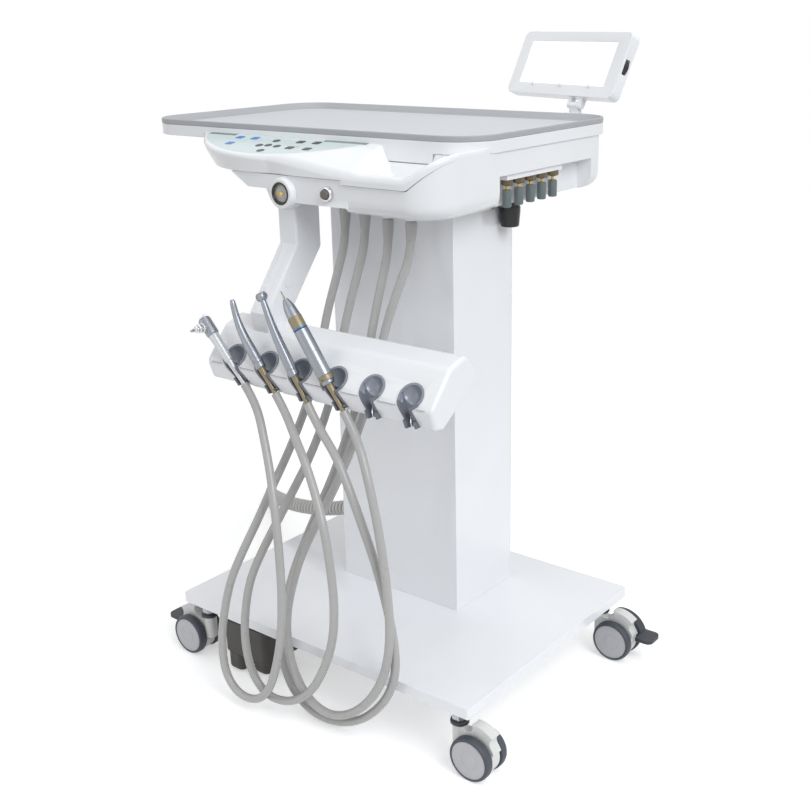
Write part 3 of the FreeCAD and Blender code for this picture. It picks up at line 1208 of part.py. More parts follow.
def syringe_body():
    """The three-way syringe: connector, handle and head block bored for its two buttons."""
    block = "(syringe_handle + 8)"
    handle = turned("syringe_handle", [
        ("0", "0"), ("syringe_radius", "0"), ("syringe_radius", "12"), ("syringe_radius + 1", "syringe_handle"),
        ("syringe_head", block), ("syringe_head", f"{block} + syringe_block - 2"),
        ("syringe_head - 2", f"{block} + syringe_block"), ("0", f"{block} + syringe_block")])
    bores = [rod(f"button_bore_{index}", "push_radius + push_gap", "push_travel + 8", f"{side} * push_spread", 0,
                 f"{block} + syringe_block - push_travel - 6") for index, side in enumerate((-1, 1))]
    whole = union("syringe_solid", tail_cone("syringe_tail"), handle)
    node("syringe_body", in_holder(cut("syringe_body", whole, *bores), 0))


def syringe_nozzle():
    """The nozzle: collar, stepped nut and thin outlet tube, pointing to the front."""
    part = turned("syringe_nozzle", [
        ("0", "0"), ("nozzle_radius", "0"), ("nozzle_radius", "5"), ("nozzle_radius - 1", "5.5"),
        ("nozzle_radius - 1", "9"), ("nozzle_radius - 2.4", "9.5"), ("nozzle_radius - 2.4", "13"),
        ("nozzle_tip", "nozzle_length"), ("nozzle_tip", "nozzle_reach"), ("0", "nozzle_reach")])
    x, tilt = seat(0)
    reach = "(seat_fit + syringe_handle + 8 + syringe_block / 2)"
    node("syringe_nozzle", place(part, f"{x} - {reach} * sin({tilt})", "holder_y - syringe_head",
                                 f"seat_z + {reach} * cos({tilt})", *POINTING["-y"]))


def syringe_button(name, side):
    """One of the syringe's push buttons."""
    part = turned(name, [
        ("0", "0"), ("push_radius", "0"), ("push_radius", "push_rise + 3"), ("push_radius - 0.8", "push_rise + 4"),
        ("0", "push_rise + 4")])
    x, tilt = seat(0)
    reach = "(seat_fit + syringe_handle + 8 + syringe_block - 4)"
    aside = f"({side} * push_spread)"
    node(name, place(part, f"{x} - {reach} * sin({tilt}) + {aside} * cos({tilt})", "holder_y",
                     f"seat_z + {reach} * cos({tilt}) + {aside} * sin({tilt})", (0, 1, 0), f"-{tilt}"))


# Hoses

# How far each hose runs on along its instrument's connector before its route begins.
HOSE_LEADS = (32, 28, 24, 28)

HOSE_ROUTES = [
    [(-66, -214, 407), (-42, -229, 361), (-22, -244, 312), (-9, -254, 262), (-3, -260, 208), (-5, -263, 152),
     (-17, -265, 96), (-36, -266, 46), (-67, -266, 20), (-104, -266, 20), (-129, -265, 47), (-131, -264, 100),
     (-121, -262, 152), (-106, -259, 202), (-86, -251, 248), (-75, -229, 290), (-73, -200, 330), (-76, -164, 366),
     (-78, -130, 408), (-74, -106, 455), (-66, -94, 510), (-57, -86, 565), (-47, -73, 618), (-39, -60, 668)],
    [(-14, -208, 424), (14, -217, 392), (38, -226, 356), (60, -236, 316), (76, -244, 268), (84, -248, 215),
     (80, -250, 160), (60, -252, 106), (32, -253, 62), (-10, -253, 32), (-54, -253, 27), (-84, -253, 54),
     (-95, -252, 105), (-90, -250, 158), (-77, -248, 208), (-58, -240, 252), (-45, -221, 292), (-39, -193, 330),
     (-37, -161, 366), (-37, -130, 408), (-34, -107, 455), (-28, -95, 510), (-19, -87, 565), (-10, -74, 618),
     (-2.5, -60, 668)],
    [(38, -203, 431), (66, -211, 410), (91, -216, 371), (112, -218, 328), (134, -220, 282), (150, -221, 234),
     (162, -222, 188), (168, -223, 140), (158, -225, 98), (132, -226, 60), (98, -227, 30), (56, -227, 12),
     (12, -227, 10), (-24, -227, 30), (-45, -226, 68), (-49, -225, 112), (-41, -224, 155), (-28, -221, 198),
     (-15, -216, 238), (-5, -203, 276), (1, -182, 313), (5, -156, 352), (7, -130, 396), (13, -108, 446),
     (22, -96, 502), (29, -88, 558), (34, -75, 610), (38, -60, 659)],
    [(107, -208, 424), (125, -216, 388), (141, -222, 344), (155, -228, 296), (165, -233, 248), (169, -235, 200),
     (165, -237, 152), (150, -238, 110), (124, -239, 72), (90, -240, 43), (52, -240, 30), (16, -240, 42),
     (-8, -240, 74), (-20, -239, 118), (-19, -237, 168), (-9, -232, 214), (3, -225, 256), (15, -208, 296),
     (25, -186, 334), (30, -160, 371), (31, -132, 412), (35, -108, 458), (43, -96, 511), (54, -88, 564),
     (66, -75, 614), (78, -60, 659)],
]


def hose(index):
    """A hose from an instrument's connector, hanging in a loop and up to its gland."""
    x, tilt = seat(index)
    start, lead = (
        (number(f"{x} + {back} * sin({tilt})"), number("holder_y"), number(f"seat_z - {back} * cos({tilt})"))
        for back in ("tail_length", f"(tail_length + {HOSE_LEADS[index]})"))
    gland_x, level = GLANDS[index]
    end = (gland_x, number("gland_y"), number(f"{level} - gland_height"))
    name = f"hose_{index + 1}"
    node(name, tube(name, number("hose_diameter"), [start, lead] + HOSE_ROUTES[index] + [end]))


# Foot control

def foot_control():
    """The foot control stowed under the base: a rounded case on two toes, hung from the pan."""
    part = body("foot_case")
    pad(part, rectangle(sketch(part, offset="foot_low"), "foot_left", "foot_right", "foot_front", "foot_back"),
        "foot_top - foot_low")
    soften(part, "foot_round", upright)
    toes = []
    for name, x0, y0 in (("foot_toe_left", "foot_left + 4", "foot_front + 2"),
                         ("foot_toe_right", "foot_right - 18 - toe_length", "foot_front + 15")):
        toe = body(name)
        pad(toe, rectangle(sketch(toe, offset="foot_clear"), x0, f"{x0} + toe_length", y0, f"{y0} + toe_width"),
            "foot_low - foot_clear")
        soften(toe, "foot_round - 2", upright)
        soften(toe, "foot_round - 5", lambda a, b: near(a.z, "foot_clear") and near(b.z, "foot_clear"))
        toes.append(toe)
    hanger = box("foot_hanger", "foot_left + 30", "foot_right - 30", "foot_front + 30", "foot_back - 30", "foot_top",
                 "base_top - base_skin")
    node("foot_control", union("foot_control", part, *toes, hanger))


def build():
    """Makes every sub-part."""
    base_plate()
    caster_stems()
    for corner, (sx, sy) in CORNERS.items():
        caster_fork(corner, sx, sy)
        caster_wheels(corner, sx, sy)
    for corner in ("fl", "rr"):
        brake_pedal(corner, *CORNERS[corner])
    column_shell()
    column_rear_cover()
    column_flanges()
    fasteners()
    air_hose()
    air_hose_coupling()
    lower_shell()
    head_chassis()
    control_block()
    tray_deck()
    tray_underside()
    tray_mat()
    console_shell()
    console_overlay()
    gauge_case()
    gauge_needle()
    air_switch_housing()
    air_switch_button()
    valve_manifold()
    for index in VALVES:
        valve_knob(index)
    bottle_socket()
    port_fittings()
    viewer_frame()
    viewer_diffuser()
    viewer_switch()
    viewer_post()
    arm_bracket()
    instrument_bar()
    holder_inserts()
    syringe_body()
    syringe_nozzle()
    syringe_button("syringe_button_air", -1)
    syringe_button("syringe_button_water", 1)
    turbine("turbine_1", 1, "turbine")
    turbine("turbine_2", 2, "second")
    motor()
    nose_cone()
    for index in range(4):
        hose(index)
    foot_control()


def write():
    """Checks every object, then writes each sub-part to its own file."""
    doc.recompute()
    failed = [piece.Name for piece in doc.Objects if {"Invalid", "Error"} & set(piece.State)]
    if failed:
        raise RuntimeError(f"failed objects: {failed}")
    for piece in nodes:
        if piece.Shape.isNull() or not piece.Shape.isValid() or not piece.Shape.Solids:
            raise RuntimeError(f"{piece.Label} has no valid shape")
    os.makedirs("parts", exist_ok=True)
    for piece in nodes:
        piece.Shape.exportStep(f"parts/{piece.Label}.step")
    print(f"{len(nodes)} nodes written")


build()
write()
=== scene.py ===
import math

import bmesh
import bpy
import numpy as np
from mathutils import Matrix, Vector


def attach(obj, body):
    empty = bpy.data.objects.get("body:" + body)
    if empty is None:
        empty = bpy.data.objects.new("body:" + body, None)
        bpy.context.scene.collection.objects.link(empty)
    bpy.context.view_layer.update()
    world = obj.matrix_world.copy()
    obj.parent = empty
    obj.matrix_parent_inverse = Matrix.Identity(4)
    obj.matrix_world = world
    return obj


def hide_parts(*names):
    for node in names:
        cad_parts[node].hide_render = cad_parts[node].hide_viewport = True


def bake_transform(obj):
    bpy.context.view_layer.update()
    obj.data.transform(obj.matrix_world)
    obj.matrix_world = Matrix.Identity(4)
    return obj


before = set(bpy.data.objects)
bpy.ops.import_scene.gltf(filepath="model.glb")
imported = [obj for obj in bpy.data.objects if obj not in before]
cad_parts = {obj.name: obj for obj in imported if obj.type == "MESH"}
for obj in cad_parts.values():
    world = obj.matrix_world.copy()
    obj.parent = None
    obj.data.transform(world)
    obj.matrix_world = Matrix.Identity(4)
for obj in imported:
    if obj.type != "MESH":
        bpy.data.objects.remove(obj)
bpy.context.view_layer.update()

MM = 0.001


# Colours and materials

def srgb(red, green, blue):
    """The linear colour of an 8-bit sRGB one."""
    values = np.array([red, green, blue]) / 255.0
    linear = np.where(values <= 0.04045, values / 12.92, ((values + 0.055) / 1.055) ** 2.4)
    return (*linear.tolist(), 1.0)


def ranged(nodes, links, source, side, low, high):
    """A node that maps a value from or to the range low to high, its other side being 0 to 1."""
    node = nodes.new("ShaderNodeMapRange")
    node.inputs[side + " Min"].default_value = low
    node.inputs[side + " Max"].default_value = high
    links.new(source, node.inputs["Value"])
    return node


def surface_group():
    """Shared node group: fine relief, a broad drift of tone and a mask of rubbed spots.

    Each is noise on Object coordinates, and the mask rises from 0 to 1 where its noise is high.
    """
    group = bpy.data.node_groups.new("Surface grain", "ShaderNodeTree")
    for name, value in (("Scale", 900.0), ("Detail", 3.0), ("Drift", 9.0)):
        socket = group.interface.new_socket(name=name, in_out="INPUT", socket_type="NodeSocketFloat")
        socket.default_value = value
    for name in ("Relief", "Tone", "Rub"):
        group.interface.new_socket(name=name, in_out="OUTPUT", socket_type="NodeSocketFloat")
    nodes, links = group.nodes, group.links
    entry, leave = nodes.new("NodeGroupInput"), nodes.new("NodeGroupOutput")
    place = nodes.new("ShaderNodeTexCoord")
    fine = nodes.new("ShaderNodeTexNoise")
    links.new(place.outputs["Object"], fine.inputs["Vector"])
    links.new(entry.outputs["Scale"], fine.inputs["Scale"])
    links.new(entry.outputs["Detail"], fine.inputs["Detail"])
    broad = nodes.new("ShaderNodeTexNoise")
    broad.inputs["Detail"].default_value = 2.0
    links.new(place.outputs["Object"], broad.inputs["Vector"])
    links.new(entry.outputs["Drift"], broad.inputs["Scale"])
    spots = nodes.new("ShaderNodeTexNoise")
    spots.inputs["Scale"].default_value = 60.0
    spots.inputs["Detail"].default_value = 5.0
    links.new(place.outputs["Object"], spots.inputs["Vector"])
    mask = ranged(nodes, links, spots.outputs["Fac"], "From", 0.56, 0.74)
    links.new(fine.outputs["Fac"], leave.inputs["Relief"])
    links.new(broad.outputs["Fac"], leave.inputs["Tone"])
    links.new(mask.outputs["Result"], leave.inputs["Rub"])
    return group


GRAIN = surface_group()
RELIEF_DEPTH = 0.0002


def finish(name, colour, rough, metallic=0.0, scale=900.0, relief=0.05, drift=0.03, rub=0.06, **sockets):
    """A material: one colour with a slight drift of tone, rubbed spots that shine more, and fine relief."""
    material = bpy.data.materials.new(name)
    material.use_nodes = True
    nodes, links = material.node_tree.nodes, material.node_tree.links
    shader = nodes["Principled BSDF"]
    shader.inputs["Metallic"].default_value = metallic
    for socket, value in sockets.items():
        shader.inputs[socket.replace("_", " ")].default_value = value
    grain = nodes.new("ShaderNodeGroup")
    grain.node_tree = GRAIN
    grain.inputs["Scale"].default_value = scale
    tone = nodes.new("ShaderNodeMix")
    tone.data_type = "RGBA"
    tone.inputs["A"].default_value = (*[max(0.0, c * (1 - drift)) for c in colour[:3]], 1)
    tone.inputs["B"].default_value = (*[min(1.0, c * (1 + drift)) for c in colour[:3]], 1)
    links.new(grain.outputs["Tone"], tone.inputs["Factor"])
    links.new(tone.outputs["Result"], shader.inputs["Base Color"])
    gloss = ranged(nodes, links, grain.outputs["Rub"], "To", rough, max(0.02, rough - rub))
    links.new(gloss.outputs["Result"], shader.inputs["Roughness"])
    bump = nodes.new("ShaderNodeBump")
    bump.inputs["Strength"].default_value = relief
    bump.inputs["Distance"].default_value = RELIEF_DEPTH
    links.new(grain.outputs["Relief"], bump.inputs["Height"])
    links.new(bump.outputs["Normal"], shader.inputs["Normal"])
    return material


POWDER = finish("Powder coat white", srgb(242, 243, 246), 0.24, scale=620, relief=0.016, rub=0.0,
                Coat_Weight=0.5)
MOULDED = finish("Moulded white", srgb(243, 244, 246), 0.27, scale=700, relief=0.010, rub=0.0,
                 Coat_Weight=0.3)
RUBBER_MAT = finish("Silicone mat grey", srgb(206, 208, 211), 0.55, scale=3000, relief=0.16)
MAT_RIM = finish("Silicone rim grey", srgb(176, 177, 180), 0.5, scale=3000, relief=0.14)
CASTER = finish("Caster nylon white", srgb(224, 224, 222), 0.38, scale=1600, relief=0.08)
DISC = finish("Wheel disc grey", srgb(192, 191, 195), 0.45, scale=1800, relief=0.10)
TYRE = finish("Tyre dark", srgb(70, 74, 82), 0.55, scale=1500, relief=0.18, drift=0.10)
DARK = finish("Dark nylon", srgb(52, 56, 62), 0.45, scale=1500, relief=0.12, drift=0.08)
STEEL = finish("Satin steel", srgb(176, 178, 182), 0.30, 1.0, scale=1100, relief=0.02, rub=0.08)
SATIN = finish("Instrument satin", srgb(150, 154, 161), 0.34, 0.9, scale=1600, relief=0.012, rub=0.05)
TAIL = finish("Connector olive tan", srgb(146, 134, 110), 0.40, 0.45, scale=1300, relief=0.03, drift=0.08)
NUT = finish("Olive nut", srgb(108, 98, 74), 0.36, 0.6, scale=1300, relief=0.08, drift=0.16)
CHROME = finish("Polished chrome", srgb(215, 215, 218), 0.10, 1.0, scale=700, relief=0.02, rub=0.04)
BRASS = finish("Olive brass", srgb(168, 150, 96), 0.34, 1.0, scale=900, relief=0.06, drift=0.1)
GOLD = finish("Gold plate", srgb(214, 178, 92), 0.25, 1.0, scale=900, relief=0.03, drift=0.08)
HOSE = finish("Hose silicone grey", srgb(176, 175, 173), 0.30, scale=700, relief=0.04, drift=0.04,
              Coat_Weight=0.25)
CURL = finish("Curly hose grey", srgb(205, 203, 200), 0.30, scale=600, relief=0.05)
KNOB = finish("Knob grey green", srgb(106, 116, 117), 0.40, scale=1500, relief=0.08, drift=0.08)
BLACK = finish("Satin black", srgb(20, 20, 22), 0.30, scale=1500, relief=0.10, drift=0.1)
LINER = finish("Liner grey", srgb(112, 115, 124), 0.40, scale=1700, relief=0.08, drift=0.06)
BOWL = finish("Liner bowl", srgb(140, 145, 156), 0.24, scale=1700, relief=0.03, drift=0.05,
              Coat_Weight=0.4)
BUTTON = finish("Button grey brown", srgb(105, 98, 92), 0.42, scale=1500, relief=0.10, drift=0.08)
KEY_LAMP = finish("Key lamp amber", srgb(236, 150, 60), 0.36, scale=1800, relief=0.05)
OVERLAY = finish("Keypad film", srgb(212, 226, 226), 0.26, scale=1800, relief=0.06)
KEY_BLUE = finish("Key blue", srgb(60, 122, 200), 0.34, scale=1800, relief=0.08)
KEY_DARK = finish("Key dark", srgb(62, 58, 66), 0.36, scale=1800, relief=0.08)
FOOT = finish("Foot control brown", srgb(66, 64, 61), 0.55, scale=1300, relief=0.16, drift=0.12)
DIAL = finish("Dial grey", srgb(156, 156, 153), 0.4, scale=1500, relief=0.02)
SYRINGE = finish("Syringe satin", srgb(204, 206, 208), 0.34, 0.55, scale=1600, relief=0.012, rub=0.05)
BLUE = finish("Anodised blue", srgb(40, 128, 190), 0.32, 0.4, scale=900, relief=0.03)


def opal_panel():
    """The viewer's lit window: white and faintly glowing."""
    material = finish("Opal window", srgb(250, 250, 250), 0.35, scale=1200, relief=0.02, drift=0.01)
    shader = material.node_tree.nodes["Principled BSDF"]
    shader.inputs["Emission Color"].default_value = (1, 1, 1, 1)
    shader.inputs["Emission Strength"].default_value = 0.35
    return material


OPAL = opal_panel()


def lens_glass():
    """Clear glass for the gauge."""
    material = bpy.data.materials.new("Gauge glass")
    material.use_nodes = True
    shader = material.node_tree.nodes["Principled BSDF"]
    shader.inputs["Base Color"].default_value = (1, 1, 1, 1)
    shader.inputs["Roughness"].default_value = 0.03
    shader.inputs["Transmission Weight"].default_value = 1.0
    shader.inputs["IOR"].default_value = 1.12
    return material


GLASS = lens_glass()


# Camera

def fitted_camera():
    """The camera, from its fitted position, direction, lens length and centre, the last two in pixels."""
    yaw, pitch, roll = (math.radians(angle) for angle in (127.91, -18.329, -0.946))
    ahead = Vector((math.cos(yaw) * math.cos(pitch), math.sin(yaw) * math.cos(pitch), math.sin(pitch)))
    level = Vector((math.sin(yaw), -math.cos(yaw), 0))
    above = level.cross(ahead)
    right = level * math.cos(roll) + above * math.sin(roll)
    up = above * math.cos(roll) - level * math.sin(roll)
    lens = bpy.data.cameras.new("Camera")
    width, focal, centre = 810, 1161.9, (435.43, 396.35)
    lens.sensor_width = 36.0
    lens.lens = focal / width * lens.sensor_width
    lens.shift_x = (width / 2 - centre[0]) / width
    lens.shift_y = (centre[1] - width / 2) / width
    lens.clip_start, lens.clip_end = 0.05, 60
    camera = bpy.data.objects.new("Camera", lens)
    turn = Matrix((right, up, -ahead)).transposed().to_4x4()
    camera.matrix_world = Matrix.Translation((1.0438, -1.2541, 0.9652)) @ turn
    bpy.context.scene.collection.objects.link(camera)
    bpy.context.scene.camera = camera


fitted_camera()


# Meshes

def piece(name, vertices, faces, materials, body, replaces=(), smooth=35, index=None, weld=1e-7):
    """A mesh piece: doubles merged, faces pointing outwards, soft shading up to an angle."""
    mesh = bpy.data.meshes.new(name)
    mesh.from_pydata(np.asarray(vertices, float).tolist(), [], [list(face) for face in faces])
    materials = materials if isinstance(materials, (list, tuple)) else [materials]
    for material in materials:
        mesh.materials.append(material)
    if index is not None:
        mesh.polygons.foreach_set("material_index", np.asarray(index, np.int32))
    work = bmesh.new()
    work.from_mesh(mesh)
    bmesh.ops.remove_doubles(work, verts=work.verts, dist=weld)
    bmesh.ops.recalc_face_normals(work, faces=work.faces)
    work.to_mesh(mesh)
    work.free()
    return settle(name, mesh, body, replaces, smooth)


def settle(name, mesh, body, replaces=(), smooth=35):
    """Shades a finished mesh, makes its object and hangs it on its body."""
    mesh.polygons.foreach_set("use_smooth", np.ones(len(mesh.polygons), bool))
    mesh.set_sharp_from_angle(angle=math.radians(smooth))
    made = bpy.data.objects.new(name, mesh)
    bpy.context.scene.collection.objects.link(made)
    if body:
        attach(made, body)
    if replaces:
        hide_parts(*replaces)
    return made


def grid(rows, columns, around=False):
    """The quads of a grid of points laid row by row, closed across the columns if asked."""
    last = columns if around else columns - 1
    row, column = np.meshgrid(np.arange(rows - 1), np.arange(last), indexing="ij")
    beside = (column + 1) % columns
    first, second = row * columns, (row + 1) * columns
    corners = (first + column, first + beside, second + beside, second + column)
    return np.stack([corner.ravel() for corner in corners], axis=1)


def capped(rows, columns):
    """The faces of a grid closed round its columns, with one face across its first row and one its last."""
    last = (rows - 1) * columns
    sides = [list(face) for face in grid(rows, columns, around=True)]
    return sides + [list(range(columns)), list(range(last, last + columns))]


class Parts:
    """Gathers several surfaces, each with its material's number, into one piece."""

    def __init__(self):
        self.points, self.faces, self.index = [], [], []
        self.count = 0

    def add(self, points, faces, material):
        points = np.asarray(points, float).reshape(-1, 3)
        self.points.append(points)
        self.faces += [[int(corner) + self.count for corner in face] for face in faces]
        self.index += [material] * len(faces)
        self.count += len(points)

    def make(self, name, materials, body, replaces=(), smooth=35):
        return piece(name, np.concatenate(self.points), self.faces, materials, body, replaces, smooth,
                     self.index)


SHARP_EDGE = math.radians(32)
FLAT_JOIN = math.radians(0.6)


def softened(node, width, materials, body, segments=2, smooth=40, wide=0, where=None, paint=None):
    """A CAD node's shape with its flat areas joined and its sharp edges rounded to a width in millimetres.

    Edges whose middle, in millimetres, meets the test 'where' are rounded to the width 'wide' instead.
    'paint' gives each face's material number from its middle in millimetres.
    """
    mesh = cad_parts[node].data.copy()
    mesh.materials.clear()
    for material in materials if isinstance(materials, (list, tuple)) else [materials]:
        mesh.materials.append(material)
    work = bmesh.new()
    work.from_mesh(mesh)
    bmesh.ops.remove_doubles(work, verts=work.verts, dist=2e-6)
    bmesh.ops.dissolve_limit(work, angle_limit=FLAT_JOIN, verts=work.verts, edges=work.edges)
    layer = work.edges.layers.float.new("bevel_weight_edge")
    full = max(width, wide)
    for edge in work.edges:
        if edge.is_manifold and edge.calc_face_angle() > SHARP_EDGE:
            middle = (edge.verts[0].co + edge.verts[1].co) / 2 / MM
            edge[layer] = 1.0 if where and where(middle) else width / full
    for face in work.faces:
        face.material_index = paint(face.calc_center_median() / MM) if paint else 0
    work.to_mesh(mesh)
    work.free()
    made = settle(node + "_finished", mesh, body, (node,), smooth)
    bevel = made.modifiers.new("Rounded edges", "BEVEL")
    bevel.width = full * MM
    bevel.segments = segments
    bevel.limit_method = "WEIGHT"
    bevel.harden_normals = True
    bevel.use_clamp_overlap = True
    return made


def rounded_profile(points, radii, steps=5):
    """A polyline whose corners are rounded: each is a quadratic curve that touches both of its sides."""
    points = [np.array(point, float) for point in points]
    made = [points[0]]
    for before, corner, after, radius in zip(points, points[1:], points[2:], radii):
        into, out = corner - before, after - corner
        long_in, long_out = np.linalg.norm(into), np.linalg.norm(out)
        into, out = into / long_in, out / long_out
        turn = math.acos(np.clip(into @ out, -1, 1))
        reach = min(radius * math.tan(turn / 2), 0.49 * long_in, 0.49 * long_out)
        if turn < 1e-3 or reach < 1e-6:
            made.append(corner)
            continue
        share = np.linspace(0, 1, steps + 1)[:, None]
        start, end = corner - into * reach, corner + out * reach
        made += list((1 - share) ** 2 * start + 2 * share * (1 - share) * corner + share ** 2 * end)
    made.append(points[-1])
    return np.array(made)


def turned(profile, origin, axis, steps=64):
    """A surface of revolution: each (radius, height) of the profile is swept round an axis."""
    profile = np.asarray(profile, float) * MM
    axis = np.array(axis, float) / np.linalg.norm(axis)
    side = np.cross(axis, [0, 0, 1.0] if abs(axis[2]) < 0.9 else [1.0, 0, 0])
    side /= np.linalg.norm(side)
    over = np.cross(axis, side)
    angle = np.arange(steps) * 2 * math.pi / steps
    ring = np.cos(angle)[:, None] * side + np.sin(angle)[:, None] * over
    points = np.array(origin) * MM + profile[:, 0, None, None] * ring + profile[:, 1, None, None] * axis
    return points.reshape(-1, 3), grid(len(profile), steps, around=True)


def rings(spot, angle, rows):
    """Rings about an upright axis: each row is (radius, height), with one radius or one for each angle."""
    points = [np.column_stack([spot[0] + radius * np.cos(angle), spot[1] + radius * np.sin(angle),
                               np.full(len(angle), height)]) for radius, height in rows]
    return np.concatenate(points) * MM, grid(len(rows), len(angle), around=True)


BOX_FACES = [[0, 1, 2, 3], [4, 5, 6, 7], [0, 1, 5, 4], [1, 2, 6, 5], [2, 3, 7, 6], [3, 0, 4, 7]]


def box(across, deep, high):
    """A box between two limits along each axis, in millimetres."""
    plan_corners = ((across[0], deep[0]), (across[1], deep[0]), (across[1], deep[1]), (across[0], deep[1]))
    return np.array([(x, y, z) for z in high for x, y in plan_corners], float) * MM, BOX_FACES


def plan(left, right, front, back, radius, steps=14):
    """Corner centres and outward directions round a rounded rectangle, in order."""
    angle = np.linspace(0, math.pi / 2, steps + 1)
    centres, ways = [], []
    corners = ((right - radius, back - radius, 0), (left + radius, back - radius, 1),
               (left + radius, front + radius, 2), (right - radius, front + radius, 3))
    for x, y, quarter in corners:
        turn = angle + quarter * math.pi / 2
        centres.append(np.tile([x, y], (steps + 1, 1)))
        ways.append(np.stack([np.cos(turn), np.sin(turn)], axis=1))
    return np.concatenate(centres), np.concatenate(ways)


def rimmed(outline, radius, stations):
    """A surface carried round a rounded rectangle: each station is (inset from the edge, height)."""
    centres, ways = outline
    rows = [np.column_stack([centres + ways * (radius - inset), np.full(len(ways), height)])
            for inset, height in stations]
    return np.concatenate(rows) * MM, grid(len(stations), len(ways), around=True)


def directions(rows):
    """Each row as a direction of length one."""
    return rows / np.maximum(np.linalg.norm(rows, axis=1), 1e-9)[:, None]


def tube(points, radius, ref=(0, 1, 0), sides=20):
    """A tube round a line: each ring stands across the line there, turned from a fixed direction."""
    points = np.asarray(points, float)
    ahead = directions(np.gradient(points, axis=0))
    side = directions(np.cross(ahead, np.array(ref, float)))
    over = np.cross(side, ahead)
    angle = np.arange(sides) * 2 * math.pi / sides
    radius = np.broadcast_to(radius, len(points))[:, None, None]
    out = np.cos(angle)[:, None] * side[:, None] + np.sin(angle)[:, None] * over[:, None]
    faces = capped(len(points), sides)
    faces[-2].reverse()
    return (points[:, None] + radius * out).reshape(-1, 3), faces


# Cords

def smooth_line(name, route, resolution=12):
    """Points along the NURBS spline that a route's points control."""
    curve = bpy.data.curves.new(name, "CURVE")
    curve.dimensions = "3D"
    spline = curve.splines.new("NURBS")
    spline.points.add(len(route) - 1)
    spline.points.foreach_set("co", np.column_stack([np.array(route) * MM, np.ones(len(route))]).ravel())
    spline.order_u = 3
    spline.use_endpoint_u = True
    spline.resolution_u = resolution
    holder = bpy.data.objects.new(name, curve)
    bpy.context.scene.collection.objects.link(holder)
    line = bpy.data.meshes.new_from_object(holder.evaluated_get(bpy.context.evaluated_depsgraph_get()))
    points = np.empty(len(line.vertices) * 3)
    line.vertices.foreach_get("co", points)
    bpy.data.objects.remove(holder)
    bpy.data.meshes.remove(line)
    return points.reshape(-1, 3)


def length_of(points):
    """The length of a line of points."""
    return float(np.linalg.norm(np.diff(points, axis=0), axis=1).sum())


def walked(points):
    """How far along a line each of its points lies."""
    return np.concatenate([[0], np.cumsum(np.linalg.norm(np.diff(points, axis=0), axis=1))])


def spread(line, steps, spots):
    """Points of a line at given distances, from the distance of each of its own points."""
    return np.stack([np.interp(spots, steps, line[:, axis]) for axis in range(3)], axis=1)


TILTS = (42, 37, 31, 35, 20, 20)


def seat(index):
    """Where a holder's instrument sits, and the direction it points, in millimetres."""
    tilt = math.radians(TILTS[index])
    return np.array([-142.75 + 63 * index, -198.0, 505.0]), np.array([-math.sin(tilt), 0, math.cos(tilt)])


HOSE_LEADS = (32, 28, 24, 28)
HOSE_ROUTES = (
    [(-66, -214, 407), (-42, -229, 361), (-22, -244, 312), (-9, -254, 262), (-3, -260, 208),
     (-5, -263, 152), (-17, -265, 96), (-36, -266, 46), (-67, -266, 20), (-104, -266, 20),
     (-129, -265, 47), (-131, -264, 100), (-121, -262, 152), (-106, -259, 202), (-86, -251, 248),
     (-75, -229, 290), (-73, -200, 330), (-76, -164, 366), (-78, -130, 408), (-74, -106, 455),
     (-66, -94, 510), (-57, -86, 565), (-47, -73, 618), (-39, -60, 668), (-39, -60, 712)],
    [(-14, -208, 424), (14, -217, 392), (38, -226, 356), (60, -236, 316), (76, -244, 268),
     (84, -248, 215), (80, -250, 160), (60, -252, 106), (32, -253, 62), (-10, -253, 32),
     (-54, -253, 27), (-84, -253, 54), (-95, -252, 105), (-90, -250, 158), (-77, -248, 208),
     (-58, -240, 252), (-45, -221, 292), (-39, -193, 330), (-37, -161, 366), (-37, -130, 408),
     (-34, -107, 455), (-28, -95, 510), (-19, -87, 565), (-10, -74, 618), (-2.5, -60, 668),
     (-2.5, -60, 712)],
    [(38, -203, 431), (66, -211, 410), (91, -216, 371), (112, -218, 328), (134, -220, 282),
     (150, -221, 234), (162, -222, 188), (168, -223, 140), (158, -225, 98), (132, -226, 60),
     (98, -227, 30), (56, -227, 12), (12, -227, 10), (-24, -227, 30), (-45, -226, 68),
     (-49, -225, 112), (-41, -224, 155), (-28, -221, 198), (-15, -216, 238), (-5, -203, 276),
     (1, -182, 313), (5, -156, 352), (7, -130, 396), (13, -108, 446), (22, -96, 502),
     (29, -88, 558), (34, -75, 610), (38, -60, 659), (38, -60, 703)],
    [(107, -208, 424), (125, -216, 388), (141, -222, 344), (155, -228, 296), (165, -233, 248),
     (169, -235, 200), (165, -237, 152), (150, -238, 110), (124, -239, 72), (90, -240, 43),
     (52, -240, 30), (16, -240, 42), (-8, -240, 74), (-20, -239, 118), (-19, -237, 168),
     (-9, -232, 214), (3, -225, 256), (15, -208, 296), (25, -186, 334), (30, -160, 371),
     (31, -132, 412), (35, -108, 458), (43, -96, 511), (54, -88, 564), (66, -75, 614),
     (78, -60, 659), (78, -60, 703)],
)
HOSE_BODIES = ("syringe", "turbine_1", "turbine_2", "motor")
HOSE_RADIUS = 6
TAIL_LENGTH = 40


def hoses():
    """The four instrument hoses: a tube from each connector round its loop, and a sleeve at its gland."""
    for index, (route, body) in enumerate(zip(HOSE_ROUTES, HOSE_BODIES)):
        place, way = seat(index)
        route = [place - TAIL_LENGTH * way, place - (TAIL_LENGTH + HOSE_LEADS[index]) * way] + list(route)
        line = smooth_line(f"hose_line_{index + 1}", route)
        vertices, faces = tube(line, HOSE_RADIUS * MM)
        made = piece(f"hose_skin_{index + 1}", vertices, faces, HOSE, None, smooth=50)
        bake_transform(made)
        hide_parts(f"hose_{index + 1}")
        gland_sleeve(index, line)


